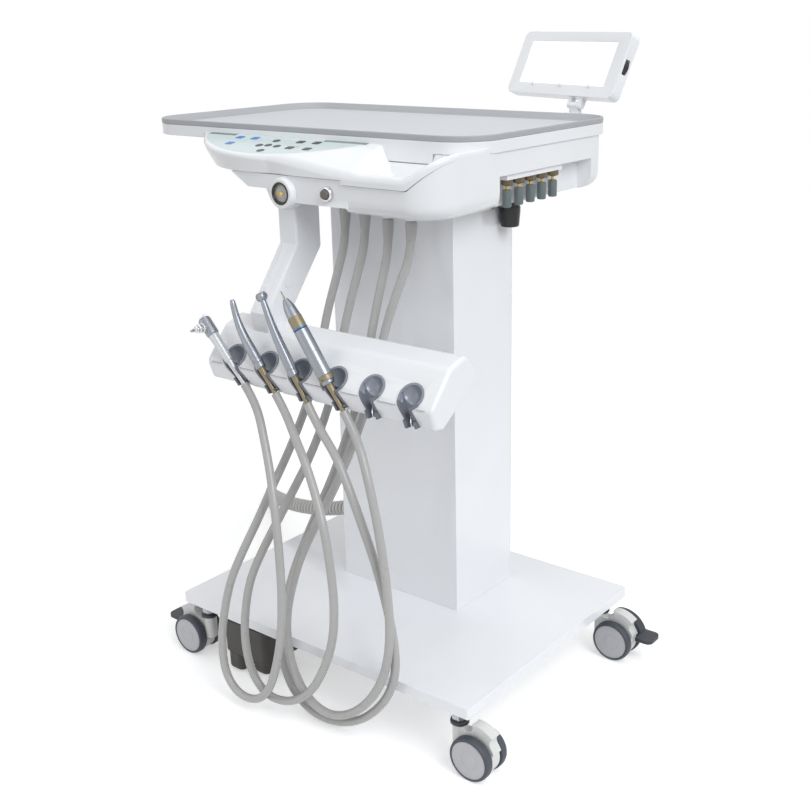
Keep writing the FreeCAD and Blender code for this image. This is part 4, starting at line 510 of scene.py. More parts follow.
def gland_sleeve(index, line):
    """The sleeve on a hose's last 30 mm: a tube whose radius swells towards the gland."""
    left = length_of(line) - walked(line)
    core = spread(line[::-1], left[::-1], np.linspace(30 * MM, 2 * MM, 12))
    sleeve = np.interp(np.arange(12), [0, 1, 3, 9, 10, 11], [6.05, 6.5, 6.9, 8.2, 8.2, 7.6]) * MM
    piece(f"gland_sleeve_{index + 1}", *tube(core, sleeve, sides=28), HOSE, "unit", smooth=40)


CURL_ROUTE = [
    (-127, 62, 186), (-160, 62, 186), (-204, 63, 170), (-250, 66, 158), (-300, 73, 148), (-348, 87, 140),
    (-390, 106, 131), (-426, 134, 117), (-461, 168, 95), (-496, 202, 66), (-530, 235, 35), (-566, 267, 14),
    (-603, 298, 14),
]


def air_hose():
    """The curly supply hose: a helix round its route's smooth line, drawn in to the line at both ends."""
    line = smooth_line("curl_line", CURL_ROUTE, 24)
    steps = walked(line)
    pitch, reach, thick, sides = 8.2 * MM, 9.4 * MM, 3.0 * MM, 10
    turns = steps[-1] / pitch
    along = np.linspace(0, steps[-1], int(turns * 16))
    centre = spread(line, steps, along)
    ahead = directions(np.gradient(centre, axis=0))
    side = directions(np.cross(ahead, [0, 0, 1.0]))
    over = np.cross(side, ahead)
    ends = np.clip(np.minimum(along, steps[-1] - along) / (14 * MM), 0, 1)
    swing = (reach * ends ** 2 * (3 - 2 * ends))[:, None]
    angle = (2 * math.pi * along / pitch)[:, None]
    coil = centre + swing * (np.cos(angle) * side + np.sin(angle) * over)
    heading = directions(np.gradient(coil, axis=0))
    flat = np.where(ends[:, None] < 0.02, side, directions(np.cross(heading, ahead)))
    high = directions(np.cross(heading, flat))
    around = np.arange(sides) * 2 * math.pi / sides
    out = np.cos(around)[:, None] * flat[:, None] + np.sin(around)[:, None] * high[:, None]
    points = (coil[:, None] + thick * out).reshape(-1, 3)
    made = piece("air_hose_coils", points, capped(len(coil), sides), CURL, "unit", ("air_hose",), 60)


hoses()
air_hose()


# Base and casters

CASTERS = {"fl": (-1, -1), "fr": (1, -1), "rl": (-1, 1), "rr": (1, 1)}
STEM_AHEAD, WHEEL_AHEAD, CASTER_ASIDE = 245, 275, 187
WHEEL_RADIUS = 31.5
UPWARD = (0, 0, 1)


def wheels(corner, along, across):
    """A pair of wheels, turned: tyres with rounded shoulders, and sunk discs with a ringed hub."""
    parts = Parts()
    tyre = rounded_profile([(26.6, 12.4), (27.4, 13.2), (30.2, 12.6), (WHEEL_RADIUS, 9),
                            (WHEEL_RADIUS, 1.5), (30, 0), (10, 0)], (0.8, 1.6, 2.4, 1.4, 0.8))
    disc = rounded_profile([(26.6, 12.4), (25.6, 12.0), (24.4, 12.5), (13.4, 12.7), (12.2, 12.1),
                            (11.3, 12.9), (4, 13.2), (0, 13.2)], (0.6, 0.6, 0.8, 0.5, 0.5, 1.0))
    for way in (-1, 1):
        origin = (along * WHEEL_AHEAD, across * CASTER_ASIDE + way * 10.8, WHEEL_RADIUS)
        parts.add(*turned(tyre, origin, (0, way, 0), 72), 0)
        parts.add(*turned(disc, origin, (0, way, 0), 72), 1)
    parts.make(f"wheel_pair_{corner}", [TYRE, DISC], f"wheels_{corner}", (f"caster_wheels_{corner}",), 40)


def caster_caps():
    """The casters' turned bearing caps and stems, with a chamfered hexagon and a washer on each."""
    parts = Parts()
    cap = rounded_profile([(6.2, 73.3), (10.5, 73.3), (13, 71.5), (13, 67.3), (6.2, 67.3)],
                          (1, 1.4, 0.5), 4)
    hexagon = ((8, 73.4), (10.2, 73.4), (10.95, 74.2), (10.95, 81.6), (10.2, 82.4), (8, 82.4))
    washer = [(6, 97.8), (15, 97.8), (15.4, 98.2), (15.4, 99.6), (15, 100), (6, 100)]
    for along, across in CASTERS.values():
        spot = (along * STEM_AHEAD, across * CASTER_ASIDE, 0)
        parts.add(*turned(cap, spot, UPWARD, 48), 0)
        parts.add(*turned([(0, 106), (6, 106), (6, 46), (0, 46)], spot, UPWARD, 32), 1)
        parts.add(*rings(spot, np.arange(6) * math.pi / 3, hexagon), 1)
        parts.add(*turned(washer, spot, UPWARD, 40), 1)
    parts.make("caster_bearings", [DARK, STEEL], "unit", ("caster_stems",), 30)


def base():
    """Everything from the floor to the base plate."""
    softened("base_plate", 1.6, POWDER, "unit", segments=3)
    caster_caps()
    for corner, (along, across) in CASTERS.items():
        softened(f"caster_fork_{corner}", 1.8, CASTER, f"caster_{corner}", segments=3)
        wheels(corner, along, across)
    for corner in ("fl", "rr"):
        softened(f"brake_pedal_{corner}", 0.8, DARK, f"pedal_{corner}", segments=2)
    softened("foot_control", 2.0, FOOT, "unit", segments=3)


base()


# Column

def column():
    """The column's sheets, its cover and what is fixed to them."""
    softened("column_shell", 0.6, POWDER, "unit")
    softened("column_rear_cover", 0.5, POWDER, "unit")
    softened("column_flanges", 0.5, STEEL, "unit")
    softened("fasteners", 0.6, [CHROME, POWDER], "unit", paint=lambda spot: 1 if spot.y < 0 else 0)
    softened("arm_bracket", 0.8, POWDER, "unit")
    arm_ribs()


def arm_ribs():
    """Three fine ribs along the arm's sloping front: bars that stand 0.12 mm off its face."""
    ribs = Parts()
    low, high = np.array([-163.6, 576.0]), np.array([-103.2, 656.5])
    out = np.array([low[1] - high[1], high[0] - low[0]])
    out /= np.linalg.norm(out)
    for x in (-122.5, -119.5, -107.5):
        rows = []
        for end in (low, high):
            for side, lift in ((-0.35, -0.3), (-0.35, 0.12), (0.35, 0.12), (0.35, -0.3)):
                spot = end + out * lift
                rows.append((x + side, spot[0], spot[1]))
        ribs.add(np.array(rows) * MM, capped(2, 4), 0)
    ribs.make("arm_ribs", POWDER, "unit")


column()


# Head

KEYPAD_SLOPE = math.atan(0.2)
OVERLAY_THICK = 0.8


def on_keypad(across, back, lift):
    """A point of the keypad's sloping face in mm: across it, back from its rear edge, and above it."""
    lean, rise = math.sin(KEYPAD_SLOPE), math.cos(KEYPAD_SLOPE)
    return np.array([across, -40 - OVERLAY_THICK * lean + back * rise - lift * lean,
                     796.6 + OVERLAY_THICK * rise + back * lean + lift * rise])


def key(parts, across, back, wide, deep, corner, material):
    """One raised key: a rounded rectangle 0.5 mm high whose edge slopes in by 0.3 mm."""
    centres, ways = plan(-wide / 2, wide / 2, -deep / 2, deep / 2, corner, 5)
    rows = []
    for inset, lift in ((0, -0.1), (0, 0.25), (0.3, 0.5)):
        edge = centres + ways * (corner - inset)
        rows.append(np.array([on_keypad(across + x, back + y, lift) for x, y in edge]))
    parts.add(np.concatenate(rows) * MM, capped(3, len(centres)), material)


SQUARE_KEY, ROUND_KEY, LAMP_KEY, MARK = (13, 11, 2), (12, 11, 5.4), (4, 4, 1.9), (1.5, 7.6, 0.6)


def keys():
    """The keypad's keys: blue and dark squares, round ones, an amber lamp, and marks at both ends."""
    parts = Parts()
    for across, back in ((-238.3, -42.3), (-244.6, -14.9), (-213.6, -14.5)):
        key(parts, across, back, *SQUARE_KEY, 0)
    for across, back in ((-166.1, -19), (-178.3, -42.1), (-163, -39.3), (-144.7, -40.6), (-155.8, -62.6)):
        key(parts, across, back, *ROUND_KEY, 1)
    for across, back in ((-120.4, -16.6), (-90.7, -15.6), (-117.2, -43.1), (-84.9, -42.6)):
        key(parts, across, back, *SQUARE_KEY, 1)
    key(parts, -108, -37, *LAMP_KEY, 2)
    for first, count in ((-318, 16), (-84, 22)):
        for step in range(count):
            key(parts, first + 3.6 * step, -5.0, *MARK, 3)
    parts.make("keypad_keys", [KEY_BLUE, KEY_DARK, KEY_LAMP, KNOB], "unit")


def gauge():
    """The gauge: a turned white housing, and inside it a dark ring, a dial with ticks and a glass."""
    origin, front = (-100, -124, 732), (0, 1, 0)
    outline = rounded_profile([(0, 7), (1.5, 7), (1.5, 4), (14.4, 4), (14.8, 0.6), (16.5, 0), (20.5, 0),
                               (23, 9), (18, 9), (18, 18), (0, 18)],
                              (0.2, 0.2, 0.3, 0.6, 0.9, 4.5, 0.8, 0.3, 0.5))
    piece("gauge_housing", *turned(outline, origin, front, 96), MOULDED, "unit", ("gauge_case",))
    bezel = rounded_profile([(12.6, 3.9), (12.6, 1.0), (13.4, -0.4), (15.4, -0.4), (16.2, 1.4)],
                            (0.4, 0.7, 0.7))
    inner = rounded_profile([(11.7, 3.6), (11.9, 2.6), (12.7, 2.2)], (0.3,), 3)
    parts = Parts()
    for number, profile in enumerate((bezel, [(0, 3.6), (12.7, 3.6)], inner)):
        parts.add(*turned(profile, origin, front, 96), number)
    for step in range(28):
        turn = math.radians(-135 + step * 10)
        out = np.array([math.sin(turn), 0, math.cos(turn)])
        side = np.array([out[2], 0, -out[0]])
        long = 8.6 if step % 3 == 0 else 10.2
        corners = [np.array(origin) + [0, 3.5, 0] + out * r + side * w
                   for r, w in ((long, -0.22), (long, 0.22), (11.8, 0.22), (11.8, -0.22))]
        parts.add(np.array(corners) * MM, [[0, 1, 2, 3]], 0)
    parts.make("gauge_dial", [BLACK, DIAL, NUT], "unit")
    lens = [(0, 0.5), (12.5, 0.8), (12.5, 1.4), (0, 1.1)]
    piece("gauge_lens", *turned(lens, origin, front, 64), GLASS, "unit")


VALVE_X, FIRST_VALVE, VALVE_PITCH = 150.0, 59.0, 29


def valves():
    """The valves: a white bar with a hexagon nut for each, and knobs whose radius dips at 16 flutes."""
    parts = Parts()
    parts.add(*box((142, 158), (48, 186), (748, 756)), 0)
    nut = ((2.2, 740), (7.2, 740), (8.4, 741), (8.4, 747), (7.6, 748.1), (2.2, 748.1))
    collar = [(0, 743.5), (3.1, 743.5), (3.4, 739.4), (2.9, 738.8), (2.1, 738.8)]
    stem = [(0, 750), (1.9, 749.6), (1.9, 735), (2.6, 734.6), (2.6, 733.6)]
    angle = np.arange(192) * 2 * math.pi / 192
    groove = 0.42 * np.clip(np.cos(16 * angle) - 0.35, 0, 1)
    skin = [(radius - groove * share, height) for radius, height, share in (
        (2.0, 733.9, 0), (5.0, 734, 0), (6.1, 733.4, 0.6), (6.4, 732.4, 1), (6.4, 712.2, 1),
        (6.0, 710.6, 0.6), (5.0, 710, 0), (0.01, 710, 0))]
    for index in range(5):
        spot = (VALVE_X, FIRST_VALVE + VALVE_PITCH * index, 0)
        parts.add(*rings(spot, np.arange(6) * math.pi / 3 + math.pi / 6, nut), 1)
        parts.add(*turned(collar, spot, UPWARD, 24), 1)
        knob = Parts()
        knob.add(*rings(spot, angle, skin), 0)
        knob.add(*turned(stem, spot, UPWARD, 24), 1)
        knob.make(f"valve_knob_{index + 1}_fluted", [KNOB, GOLD], f"valve_{index + 1}",
                  (f"valve_knob_{index + 1}",), 30)
    parts.make("valve_bar", [MOULDED, NUT], "unit", ("valve_manifold",), 25)


def bottle():
    """The bottle socket: a turned black cup that tapers down, with a stepped top, hollow from below."""
    cup = rounded_profile([(0, 711), (14, 711), (14, 704), (15, 703), (15, 697), (13.2, 676.4), (12.2, 675),
                           (11, 675), (11, 703), (0, 703)], (0.6, 0.4, 0.6, 1.0, 1.2, 0.5, 0.4, 0.5))
    piece("bottle_cup", *turned(cup, (124, 105, 0), UPWARD, 72), BLACK, "unit", ("bottle_socket",))


def ease(value, low, high):
    """A smooth step from 0 at low to 1 at high."""
    share = np.clip((value - low) / (high - low), 0, 1)
    return share ** 2 * (3 - 2 * share)


def lesser(one, other, width):
    """The smaller of two heights, their crossing rounded off over a width."""
    near = np.clip(1 - np.abs(one - other) / width, 0, 1)
    return np.minimum(one, other) - near ** 2 * width / 4


CONSOLE_X, CONSOLE_Y, KEEL_Y, KEEL_ROUND = -168, 99.4, 44.6, 163.6
DECK_FRONT, BAY_FRONT, BAY_RIGHT, STEP_X = -40, -118, 162, 7
BAY_RIM, BAY_FLOOR = 767, 735


def console_top(x, y):
    """Height of the console's top: the lower of land and basin, or the rear wall where that is higher.

    The land slopes forward, falls outside the keypad's circle, and eases over to the bay's rim, which
    climbs on the right. The basin is the higher of a left wall and a wall round its front and right.
    Each wall rises from the floor with the square of the way out. All crossings are rounded off.
    """
    rim = BAY_RIM + 29 * ease(x, 106, 164)
    around = np.hypot(x - CONSOLE_X, y - CONSOLE_Y)
    limit = np.hypot(x - CONSOLE_X, BAY_FRONT - CONSOLE_Y)
    fall = np.clip((around - 217) / np.maximum(limit - 217, 4), 0, 1) ** 1.3
    slope = 797.0 + 0.2 * (y - DECK_FRONT) - 14.4 * ease(x, -130, 30) * fall
    land = slope + (rim - slope) * ease(x, 16, 44)
    left = BAY_FLOOR + 63 * np.clip(1 - (x - 14) / 48, 0, 2) ** 2
    across, deep = np.maximum(x - 105, 0), np.maximum(-63 - y, 0)
    corner = (across > 0) & (deep > 0)
    inward = 45 - np.where(corner, np.hypot(across, deep), np.maximum(x - 105, -63 - y))
    wall = BAY_FLOOR + 32 * np.clip(1 - inward / 17, 0, 3) ** 2
    basin = -lesser(-left, -wall, 12)
    behind = BAY_FLOOR + (39 + 14 * ease(x, 96, 106)) * np.clip((y + 56) / 15, 0, 1) ** 2
    return -lesser(-lesser(land, basin, 8), -behind, 5)


def console_low(along, x):
    """Height of the moulding's lower edge: level, lower past a step, and climbing on the right."""
    return np.where(along < STEP_X, 757, 751 + 37 * np.clip((x - 115) / 47, 0, 1))


def console_plan():
    """The moulding's plan: points of its edge, its foot and its back line, matched one to one.

    The edge and the foot are arcs about the console, a straight front and the bay's corner. The back line
    is the deck's straight front and its corner.
    """
    turn = np.radians(np.linspace(-140.9, -79.65, 70))
    broad = 218.6 + 2.4 * ease(np.arange(70), 0, 30)
    edge = np.column_stack([CONSOLE_X + broad * np.cos(turn), CONSOLE_Y + broad * np.sin(turn)])
    edge[0, 1] = DECK_FRONT
    turn = np.radians(np.linspace(-148.9, -75.96, 70))
    foot = np.column_stack([CONSOLE_X + KEEL_ROUND * np.cos(turn), KEEL_Y + KEEL_ROUND * np.sin(turn)])
    run = np.concatenate([np.linspace(-126, 6.7, 62), np.linspace(7.3, 106, 46)])
    edge = np.concatenate([edge, np.column_stack([run, np.full(len(run), float(BAY_FRONT))])])
    foot = np.concatenate([foot, np.column_stack([run, BAY_FRONT + 3.9 * (1 - ease(run, -128, -70))])])
    back = np.column_stack([edge[:, 0], np.full(len(edge), float(DECK_FRONT))])
    back[:, 0] = np.minimum(back[:, 0], 103)
    turn = np.radians(np.linspace(-90, 0, 28)[1:])
    side = np.column_stack([np.full(20, float(BAY_RIGHT)), np.linspace(-62, 3, 21)[1:]])
    corner = np.concatenate([np.column_stack([106 + 56 * np.cos(turn), -62 + 56 * np.sin(turn)]), side])
    turn = np.radians(np.linspace(-90, -17.9, len(corner) + 1)[1:])
    back = np.concatenate([back, np.column_stack([103 + 62 * np.cos(turn), 22 + 62 * np.sin(turn)])])
    return np.concatenate([edge, corner]), np.concatenate([foot, corner]), back


def console():
    """The upper front moulding, as rows of points carried along its plan.

    From the back line its underside runs out to the foot, a quadratic curve rises to the edge, a quarter
    circle rolls over the shoulder, and the top runs in to the back line again.
    """
    edge, foot, back = console_plan()
    straight = back[:, 1] < DECK_FRONT + 0.1
    heel = np.column_stack([np.where(straight, np.minimum(foot[:, 0], 103), back[:, 0]), back[:, 1]])
    span = np.linalg.norm(back - edge, axis=1)
    low = console_low(edge[:, 0], edge[:, 0])
    crest = console_top(edge[:, 0], edge[:, 1])
    shoulder = 4.4 + 5.0 * ease(edge[:, 0], -190, -60)
    shoulder = np.minimum(np.minimum(shoulder, 0.8 * (crest - low)), 0.7 * span)
    rows = []
    for share in np.linspace(0, 1, 24):
        spot = heel + (foot - heel) * share
        beneath = console_top(spot[:, 0], spot[:, 1]) - 3
        rows.append(np.column_stack([spot, np.minimum(console_low(edge[:, 0], spot[:, 0]), beneath)]))
    rows[-1][:, 2] = low
    start = crest - shoulder
    level = low + 0.85 * (start - low)
    for share in np.linspace(0, 1, 12)[1:]:
        spot = foot * (1 - share) ** 2 + edge * (1 - (1 - share) ** 2)
        height = low * (1 - share) ** 2 + 2 * share * (1 - share) * level + share ** 2 * start
        rows.append(np.column_stack([spot, height]))
    inward = (back - edge) / np.maximum(span, 1e-6)[:, None]
    for angle in np.linspace(0, math.pi / 2, 9)[1:]:
        spot = edge + inward * (shoulder * (1 - math.cos(angle)))[:, None]
        height = console_top(spot[:, 0], spot[:, 1]) - shoulder * (1 - math.sin(angle))
        rows.append(np.column_stack([spot, height]))
    for share in np.linspace(0, 1, 54)[1:]:
        spot = edge + inward * (shoulder + (span - shoulder) * share)[:, None]
        rows.append(np.column_stack([spot, console_top(spot[:, 0], spot[:, 1])]))
    rows.append(np.column_stack([back, np.maximum(rows[-1][:, 2], 747)]))
    points = np.stack(rows, axis=1).reshape(-1, 3) * MM
    piece("console_moulding", points, capped(len(edge), len(rows)), MOULDED, "unit", ("console_shell",), 50,
          weld=1e-6)


def head():
    """The head's mouldings, its mat, console and fittings."""
    softened("lower_shell", 1.4, MOULDED, "unit", segments=3)
    softened("tray_deck", 1.2, MOULDED, "unit", segments=3)
    softened("tray_underside", 0.6, MOULDED, "unit")
    console()
    softened("console_overlay", 0.3, OVERLAY, "unit")
    keys()
    softened("head_chassis", 0.4, STEEL, "unit")
    softened("control_block", 0.6, STEEL, "unit")
    gauge()
    softened("gauge_needle", 0.15, GOLD, "needle")
    softened("air_switch_housing", 0.8, CHROME, "unit", segments=3)
    softened("air_switch_button", 1.0, BUTTON, "air_switch", segments=3)
    valves()
    bottle()
    softened("port_fittings", 0.6, [NUT, MOULDED], "unit",
             paint=lambda spot: 1 if abs(spot.y + 60) < 12 else 0)


MAT_CORNER = 62


def tray_mat():
    """The mat: a rolled rim carried round the tray's plan, sloping in to the flat floor."""
    outline = plan(-476, 165, -40, 335, MAT_CORNER)
    rim = rounded_profile([(0.6, 804.6), (0.0, 805.4), (0.0, 812.5), (3.6, 812.5), (10.6, 802.5),
                           (16, 802.5)], (0.6, 2.0, 2.0, 5.0), 6)
    parts = Parts()
    points, faces = rimmed(outline, MAT_CORNER, rim)
    around = len(outline[0])
    edge = points[-around:]
    centre = edge.mean(axis=0)
    inner = centre + (edge - centre) * 0.97
    inner[:, 2] = points[-1, 2]
    parts.add(points, faces, 0)
    parts.add(np.concatenate([edge, inner]), grid(2, around, around=True), 1)
    parts.add(inner, [list(range(around))], 1)
    plug, faces = rimmed(outline, MAT_CORNER, [(0.6, 804.6), (9.3, 804.6), (9.3, 800.0), (14, 800.0)])
    parts.add(plug, faces, 0)
    parts.add(plug[-around:], [list(range(around))], 0)
    parts.make("tray_mat_finished", [MAT_RIM, RUBBER_MAT], "mat", ("tray_mat",), 30)


head()
tray_mat()


# Film viewer

def viewer():
    """The film viewer with its three turned clips, its switch and its post."""
    softened("viewer_frame", 1.6, MOULDED, "viewer", segments=3)
    softened("viewer_diffuser", 0.3, OPAL, "viewer")
    lean, turn = math.radians(25), math.radians(17.6)
    back = np.array([math.sin(turn) * math.cos(lean), math.cos(turn) * math.cos(lean), -math.sin(lean)])
    wide = np.array([math.cos(turn), -math.sin(turn), 0])
    clips = Parts()
    clip = rounded_profile([(0, -2.6), (2.6, -2.4), (3.2, -1.4), (3.2, 0.4), (0, 0.4)], (0.6, 0.8, 0.3), 3)
    for along in (-64, 3, 70):
        spot = np.array([36.3, 362, 837.2]) + wide * along + np.cross(wide, back) * 17
        clips.add(*turned(clip, spot, back, 24), 0)
    clips.make("viewer_clips", MOULDED, "viewer")
    softened("viewer_switch", 0.5, BLACK, "viewer_rocker")
    softened("viewer_post", 0.8, POWDER, "unit")


viewer()


# Instrument bar and instruments

DISH_SHIFT = 6


def bowl(spot):
    """1 inside a holder's dish, a ball about the dish's middle, and 0 outside."""
    index = min(range(6), key=lambda number: abs(seat(number)[0][0] + DISH_SHIFT - spot.x))
    middle = Vector((seat(index)[0][0] + DISH_SHIFT, -196, 515))
    return 1 if (spot - middle).length < 17.2 else 0


def bar():
    """The instrument bar, a grey strip of painted shade along its join line between the holders, its end
    caps, liners and springs.
    """
    softened("bar_shell", 0.5, MOULDED, "unit")
    softened("bar_cover", 0.5, MOULDED, "unit")
    # Painted shade: a thin grey strip on the bar's front stands in for the shade in its join line between
    # the holders.
    seam_shade = Parts()
    for index in range(7):
        first = -176 if index == 0 else seat(index - 1)[0][0] + 21
        last = 206 if index == 6 else seat(index)[0][0] - 13
        seam_shade.add(*box((first, last), (-202.1, -200), (499.7, 500.2)), 0)
    seam_shade.make("bar_seam", MAT_RIM, "unit")
    softened("bar_end_caps", 0.3, MOULDED, "unit", segments=7, wide=8, smooth=50,
             where=lambda spot: spot.x < -187 or spot.x > 217)
    softened("holder_inserts", 0.9, [LINER, BOWL], "unit", segments=3, paint=bowl)
    springs = Parts()
    for index in (4, 5):
        place, way = seat(index)
        across = np.array([way[2], 0, -way[0]])
        line = [place + way * up + np.array([0, out, 0]) + across * 1.5
                for up, out in ((-19, 4), (-22, 1), (-26, -1), (-31, -1.5), (-33.5, 1), (-30, 3))]
        springs.add(*tube(smooth_line(f"spring_{index}", line), 0.8 * MM, ref=(1, 0, 0.2), sides=12), 0)
    springs.make("holder_springs", CHROME, "unit")


def instruments():
    """The syringe, turbines and motor."""
    syringe()
    turbine("turbine_1", 1, 65, 39, 22, False)
    turbine("turbine_2", 2, 68, 46, 8, True)
    motor()
    softened("air_hose_coupling", 0.4, BRASS, "unit")


SEAT_FIT = 0.3
TAIL_SHAPE = rounded_profile([(0, -TAIL_LENGTH), (3.0, -TAIL_LENGTH), (3.3, -38), (3.6, -22), (4.9, -3),
                              (5.4, -0.5), (5.4, 0.6), (0, 0.6)], (0.5, 1, 6, 2, 0.4, 0.4))


def laid(parts, profile, index, material, lift=SEAT_FIT):
    """Adds a shape turned about an instrument's own line, a way up from its seat."""
    place, way = seat(index)
    parts.add(*turned(profile, place + way * lift, way), material)


def syringe():
    """The three-way syringe: turned handle and head, a ringed nozzle across them, and two pale buttons."""
    parts = Parts()
    laid(parts, TAIL_SHAPE, 0, 1)
    handle = rounded_profile([(0, 0), (5.6, 0), (6.4, 1.2), (6.6, 10), (7.5, 38), (7.7, 44), (0, 44)],
                             (0.4, 0.8, 4, 8, 0.5))
    laid(parts, handle, 0, 1)
    block = rounded_profile([(0, 43.6), (8.0, 43.6), (9.3, 46.5), (9.3, 69), (7.8, 72), (0, 72)],
                            (0.5, 2.5, 2.5, 1.2))
    laid(parts, block, 0, 0)
    parts.make("syringe_handle_and_head", [SATIN, SYRINGE], "syringe", ("syringe_body",), 40)
    place, way = seat(0)
    middle = place + way * 59.3 + np.array([0, -7.0, 0])
    corners = [(0, 0), (7.2, 0), (7.2, 4.5), (6.6, 5.4), (6.2, 5.4), (6.2, 8), (6.6, 8.4), (6.6, 10.5),
               (5.0, 11), (5.0, 12.6), (5.4, 13), (5.4, 15), (3.8, 15.6), (3.8, 17), (2.4, 18.4), (2.2, 24),
               (1.5, 24.4), (1.2, 20), (0, 20)]
    nozzle = turned(rounded_profile(corners, (0.4,) * 17, 3), middle, (0, -1, 0), 48)
    piece("syringe_nozzle_ringed", *nozzle, CHROME, "syringe", ("syringe_nozzle",), 30)
    across = np.array([way[2], 0, -way[0]])
    shape = rounded_profile([(0, 66), (3, 66), (3, 74.4), (2.4, 76.2), (0, 76.4)], (0.3, 1.2, 1.0), 4)
    for name, side in (("air", -1), ("water", 1)):
        cap = turned(shape, place + across * side * 4.4 + way * SEAT_FIT, way, 32)
        piece(f"syringe_{name}_cap", *cap, MOULDED, f"syringe_{name}", (f"syringe_button_{name}",), 40)


def turbine(name, index, handle, neck, bend, headed):
    """A turbine handpiece: connector, collar, a tapering tube that bends into its neck, and its end.

    The tube's line is two straights joined by a quadratic curve 24 mm either side of the bend.
    """
    place, way = seat(index)
    across = np.array([way[2], 0, -way[0]])
    lean, ahead = math.sin(math.radians(bend)), math.cos(math.radians(bend))
    onward = way * ahead + across * lean
    parts = Parts()
    laid(parts, TAIL_SHAPE, index, 1)
    collar = rounded_profile([(0, 0), (6.6, 0), (7.5, 1), (7.5, 8.2), (7.15, 8.5), (7.15, 9.1), (7.5, 9.4),
                              (7.5, 16), (0, 16)], (0.3, 0.7, 0.2, 0.2, 0.2, 0.2, 0.3), 3)
    laid(parts, collar, index, 0)
    joint = place + way * (handle + SEAT_FIT)
    share = np.linspace(0, 1, 15)[:, None]
    before, after = joint - way * 24, joint + onward * 24
    curve = (1 - share) ** 2 * before + 2 * share * (1 - share) * joint + share ** 2 * after
    core = np.concatenate([[place + way * 15.8], [place + way * 28], curve, [joint + onward * (neck - 3)],
                           [joint + onward * neck]])
    steps = walked(core)
    even = np.linspace(0, steps[-1], 40)
    core = spread(core, steps, even)
    radius = np.interp(even / steps[-1], [0, 0.1, 0.42, 0.7, 1], [7.35, 7.4, 6.3, 4.9, 3.9])
    if not headed:
        radius[-3:] = 3.9, 3.6, 2.4
    parts.add(*tube(core * MM, radius * MM, ref=(0, 1, 0), sides=40), 0)
    button = rounded_profile([(0, 1), (1.7, 1), (2.0, 0.6), (2.0, -1)], (0.3, 0.3), 3)
    parts.add(*turned(button, place + way * 12.6 + np.array([0, -7.2, 0]), (0, -1, 0), 24), 0)
    if headed:
        end = joint + onward * (neck + 1.2)
        side = across * ahead - way * lean
        crown = rounded_profile([(0, 7.2), (3.6, 7.2), (5.8, 5.8), (6.0, 2), (6.0, -3.4), (0, -3.4)],
                                (1.0, 1.6, 1.0, 0.3))
        parts.add(*turned(crown, end, side, 48), 0)
        chuck = rounded_profile([(5.7, -3.2), (5.7, -5.6), (4.4, -7.4), (1.6, -7.6), (1.4, -7.0),
                                 (0, -7.0)], (0.8, 1.0, 0.3, 0.2))
        parts.add(*turned(chuck, end, side, 48), 1)
    parts.make(f"{name}_handpiece", [SATIN, TAIL], name, (name,), 40)


NOSE_FOOT = 81.6


def motor():
    """The micromotor with its tan ring and hole, and the straight nose with its blue and tan bands."""
    parts = Parts()
    laid(parts, TAIL_SHAPE, 3, 1)
    foot = rounded_profile([(0, 0), (7.6, 0), (8.6, 1.0), (9.0, 4.6), (9.6, 5.2)], (0.4, 0.8, 0.6))
    laid(parts, foot, 3, 0)
    ring = rounded_profile([(9.4, 5.0), (10.3, 5.4), (10.3, 12), (9.6, 12.5)], (0.4, 0.4))
    laid(parts, ring, 3, 1)
    barrel = rounded_profile([(9.6, 12.3), (10.2, 12.9), (10.3, 46), (10.1, 46.3), (10.1, 46.8),
                              (10.3, 47.1), (10.0, 80), (9.4, 80.8), (2.1, 81), (2.1, 67), (0, 67)],
                             (0.4, 3, 0.1, 0.1, 0.2, 0.6, 0.2, 0.2, 0.2))
    laid(parts, barrel, 3, 0)
    place, way = seat(3)
    hole = place + way * 9 + np.array([2.2, -10.0, 0])
    parts.add(*turned([(0, 0.25), (1.1, 0.25), (1.1, -1)], hole, (0.22, -1, 0), 20), 2)
    parts.make("motor_barrel", [SATIN, TAIL, BLACK], "motor", ("motor",), 35)
    sleeve = [(0, -13), (2, -13), (2, -0.1), (9.6, 0), (10.15, 0.3)]
    blue = rounded_profile([(10.15, 0.3), (10.2, 0.6), (10.2, 1.8), (9.9, 2.1)], (0.2, 0.2), 3)
    band = rounded_profile([(9.9, 2.1), (9.8, 18.6), (9.4, 19)], (0.3,), 3)
    tip = rounded_profile([(9.3, 19), (9.35, 19.6), (7.9, 33), (4.6, 43.5), (3.2, 45.5), (1.9, 45.5)],
                          (0.4, 16, 10, 1.2), 7)
    mouth = [(1.9, 45.5), (1.7, 44.4), (1.1, 44.4)]
    bur = rounded_profile([(1.1, 44.4), (1.1, 50), (0.8, 50.6), (0.8, 56.8), (0.4, 57.5), (0, 57.5)],
                          (0.2, 0.2, 0.3, 0.2), 3)
    nose = Parts()
    for profile, material in ((sleeve, 0), (blue, 2), (band, 1), (tip, 0), (mouth, 3), (bur, 1)):
        laid(nose, profile, 3, material, NOSE_FOOT)
    nose.make("motor_nose", [SATIN, TAIL, BLUE, BUTTON], "nose", ("nose_cone",), 35)


bar()
instruments()


# Studio

def mask_of_camera(nodes, links):
    """One where the camera sees a surface straight, in a reflection or through glass."""
    path = nodes.new("ShaderNodeLightPath")
    found = path.outputs["Is Camera Ray"]
    for ray in ("Is Glossy Ray", "Is Transmission Ray"):
        either = nodes.new("ShaderNodeMath")
        either.operation = "MAXIMUM"
        links.new(found, either.inputs[0])
        links.new(path.outputs[ray], either.inputs[1])
        found = either.outputs[0]
    return found


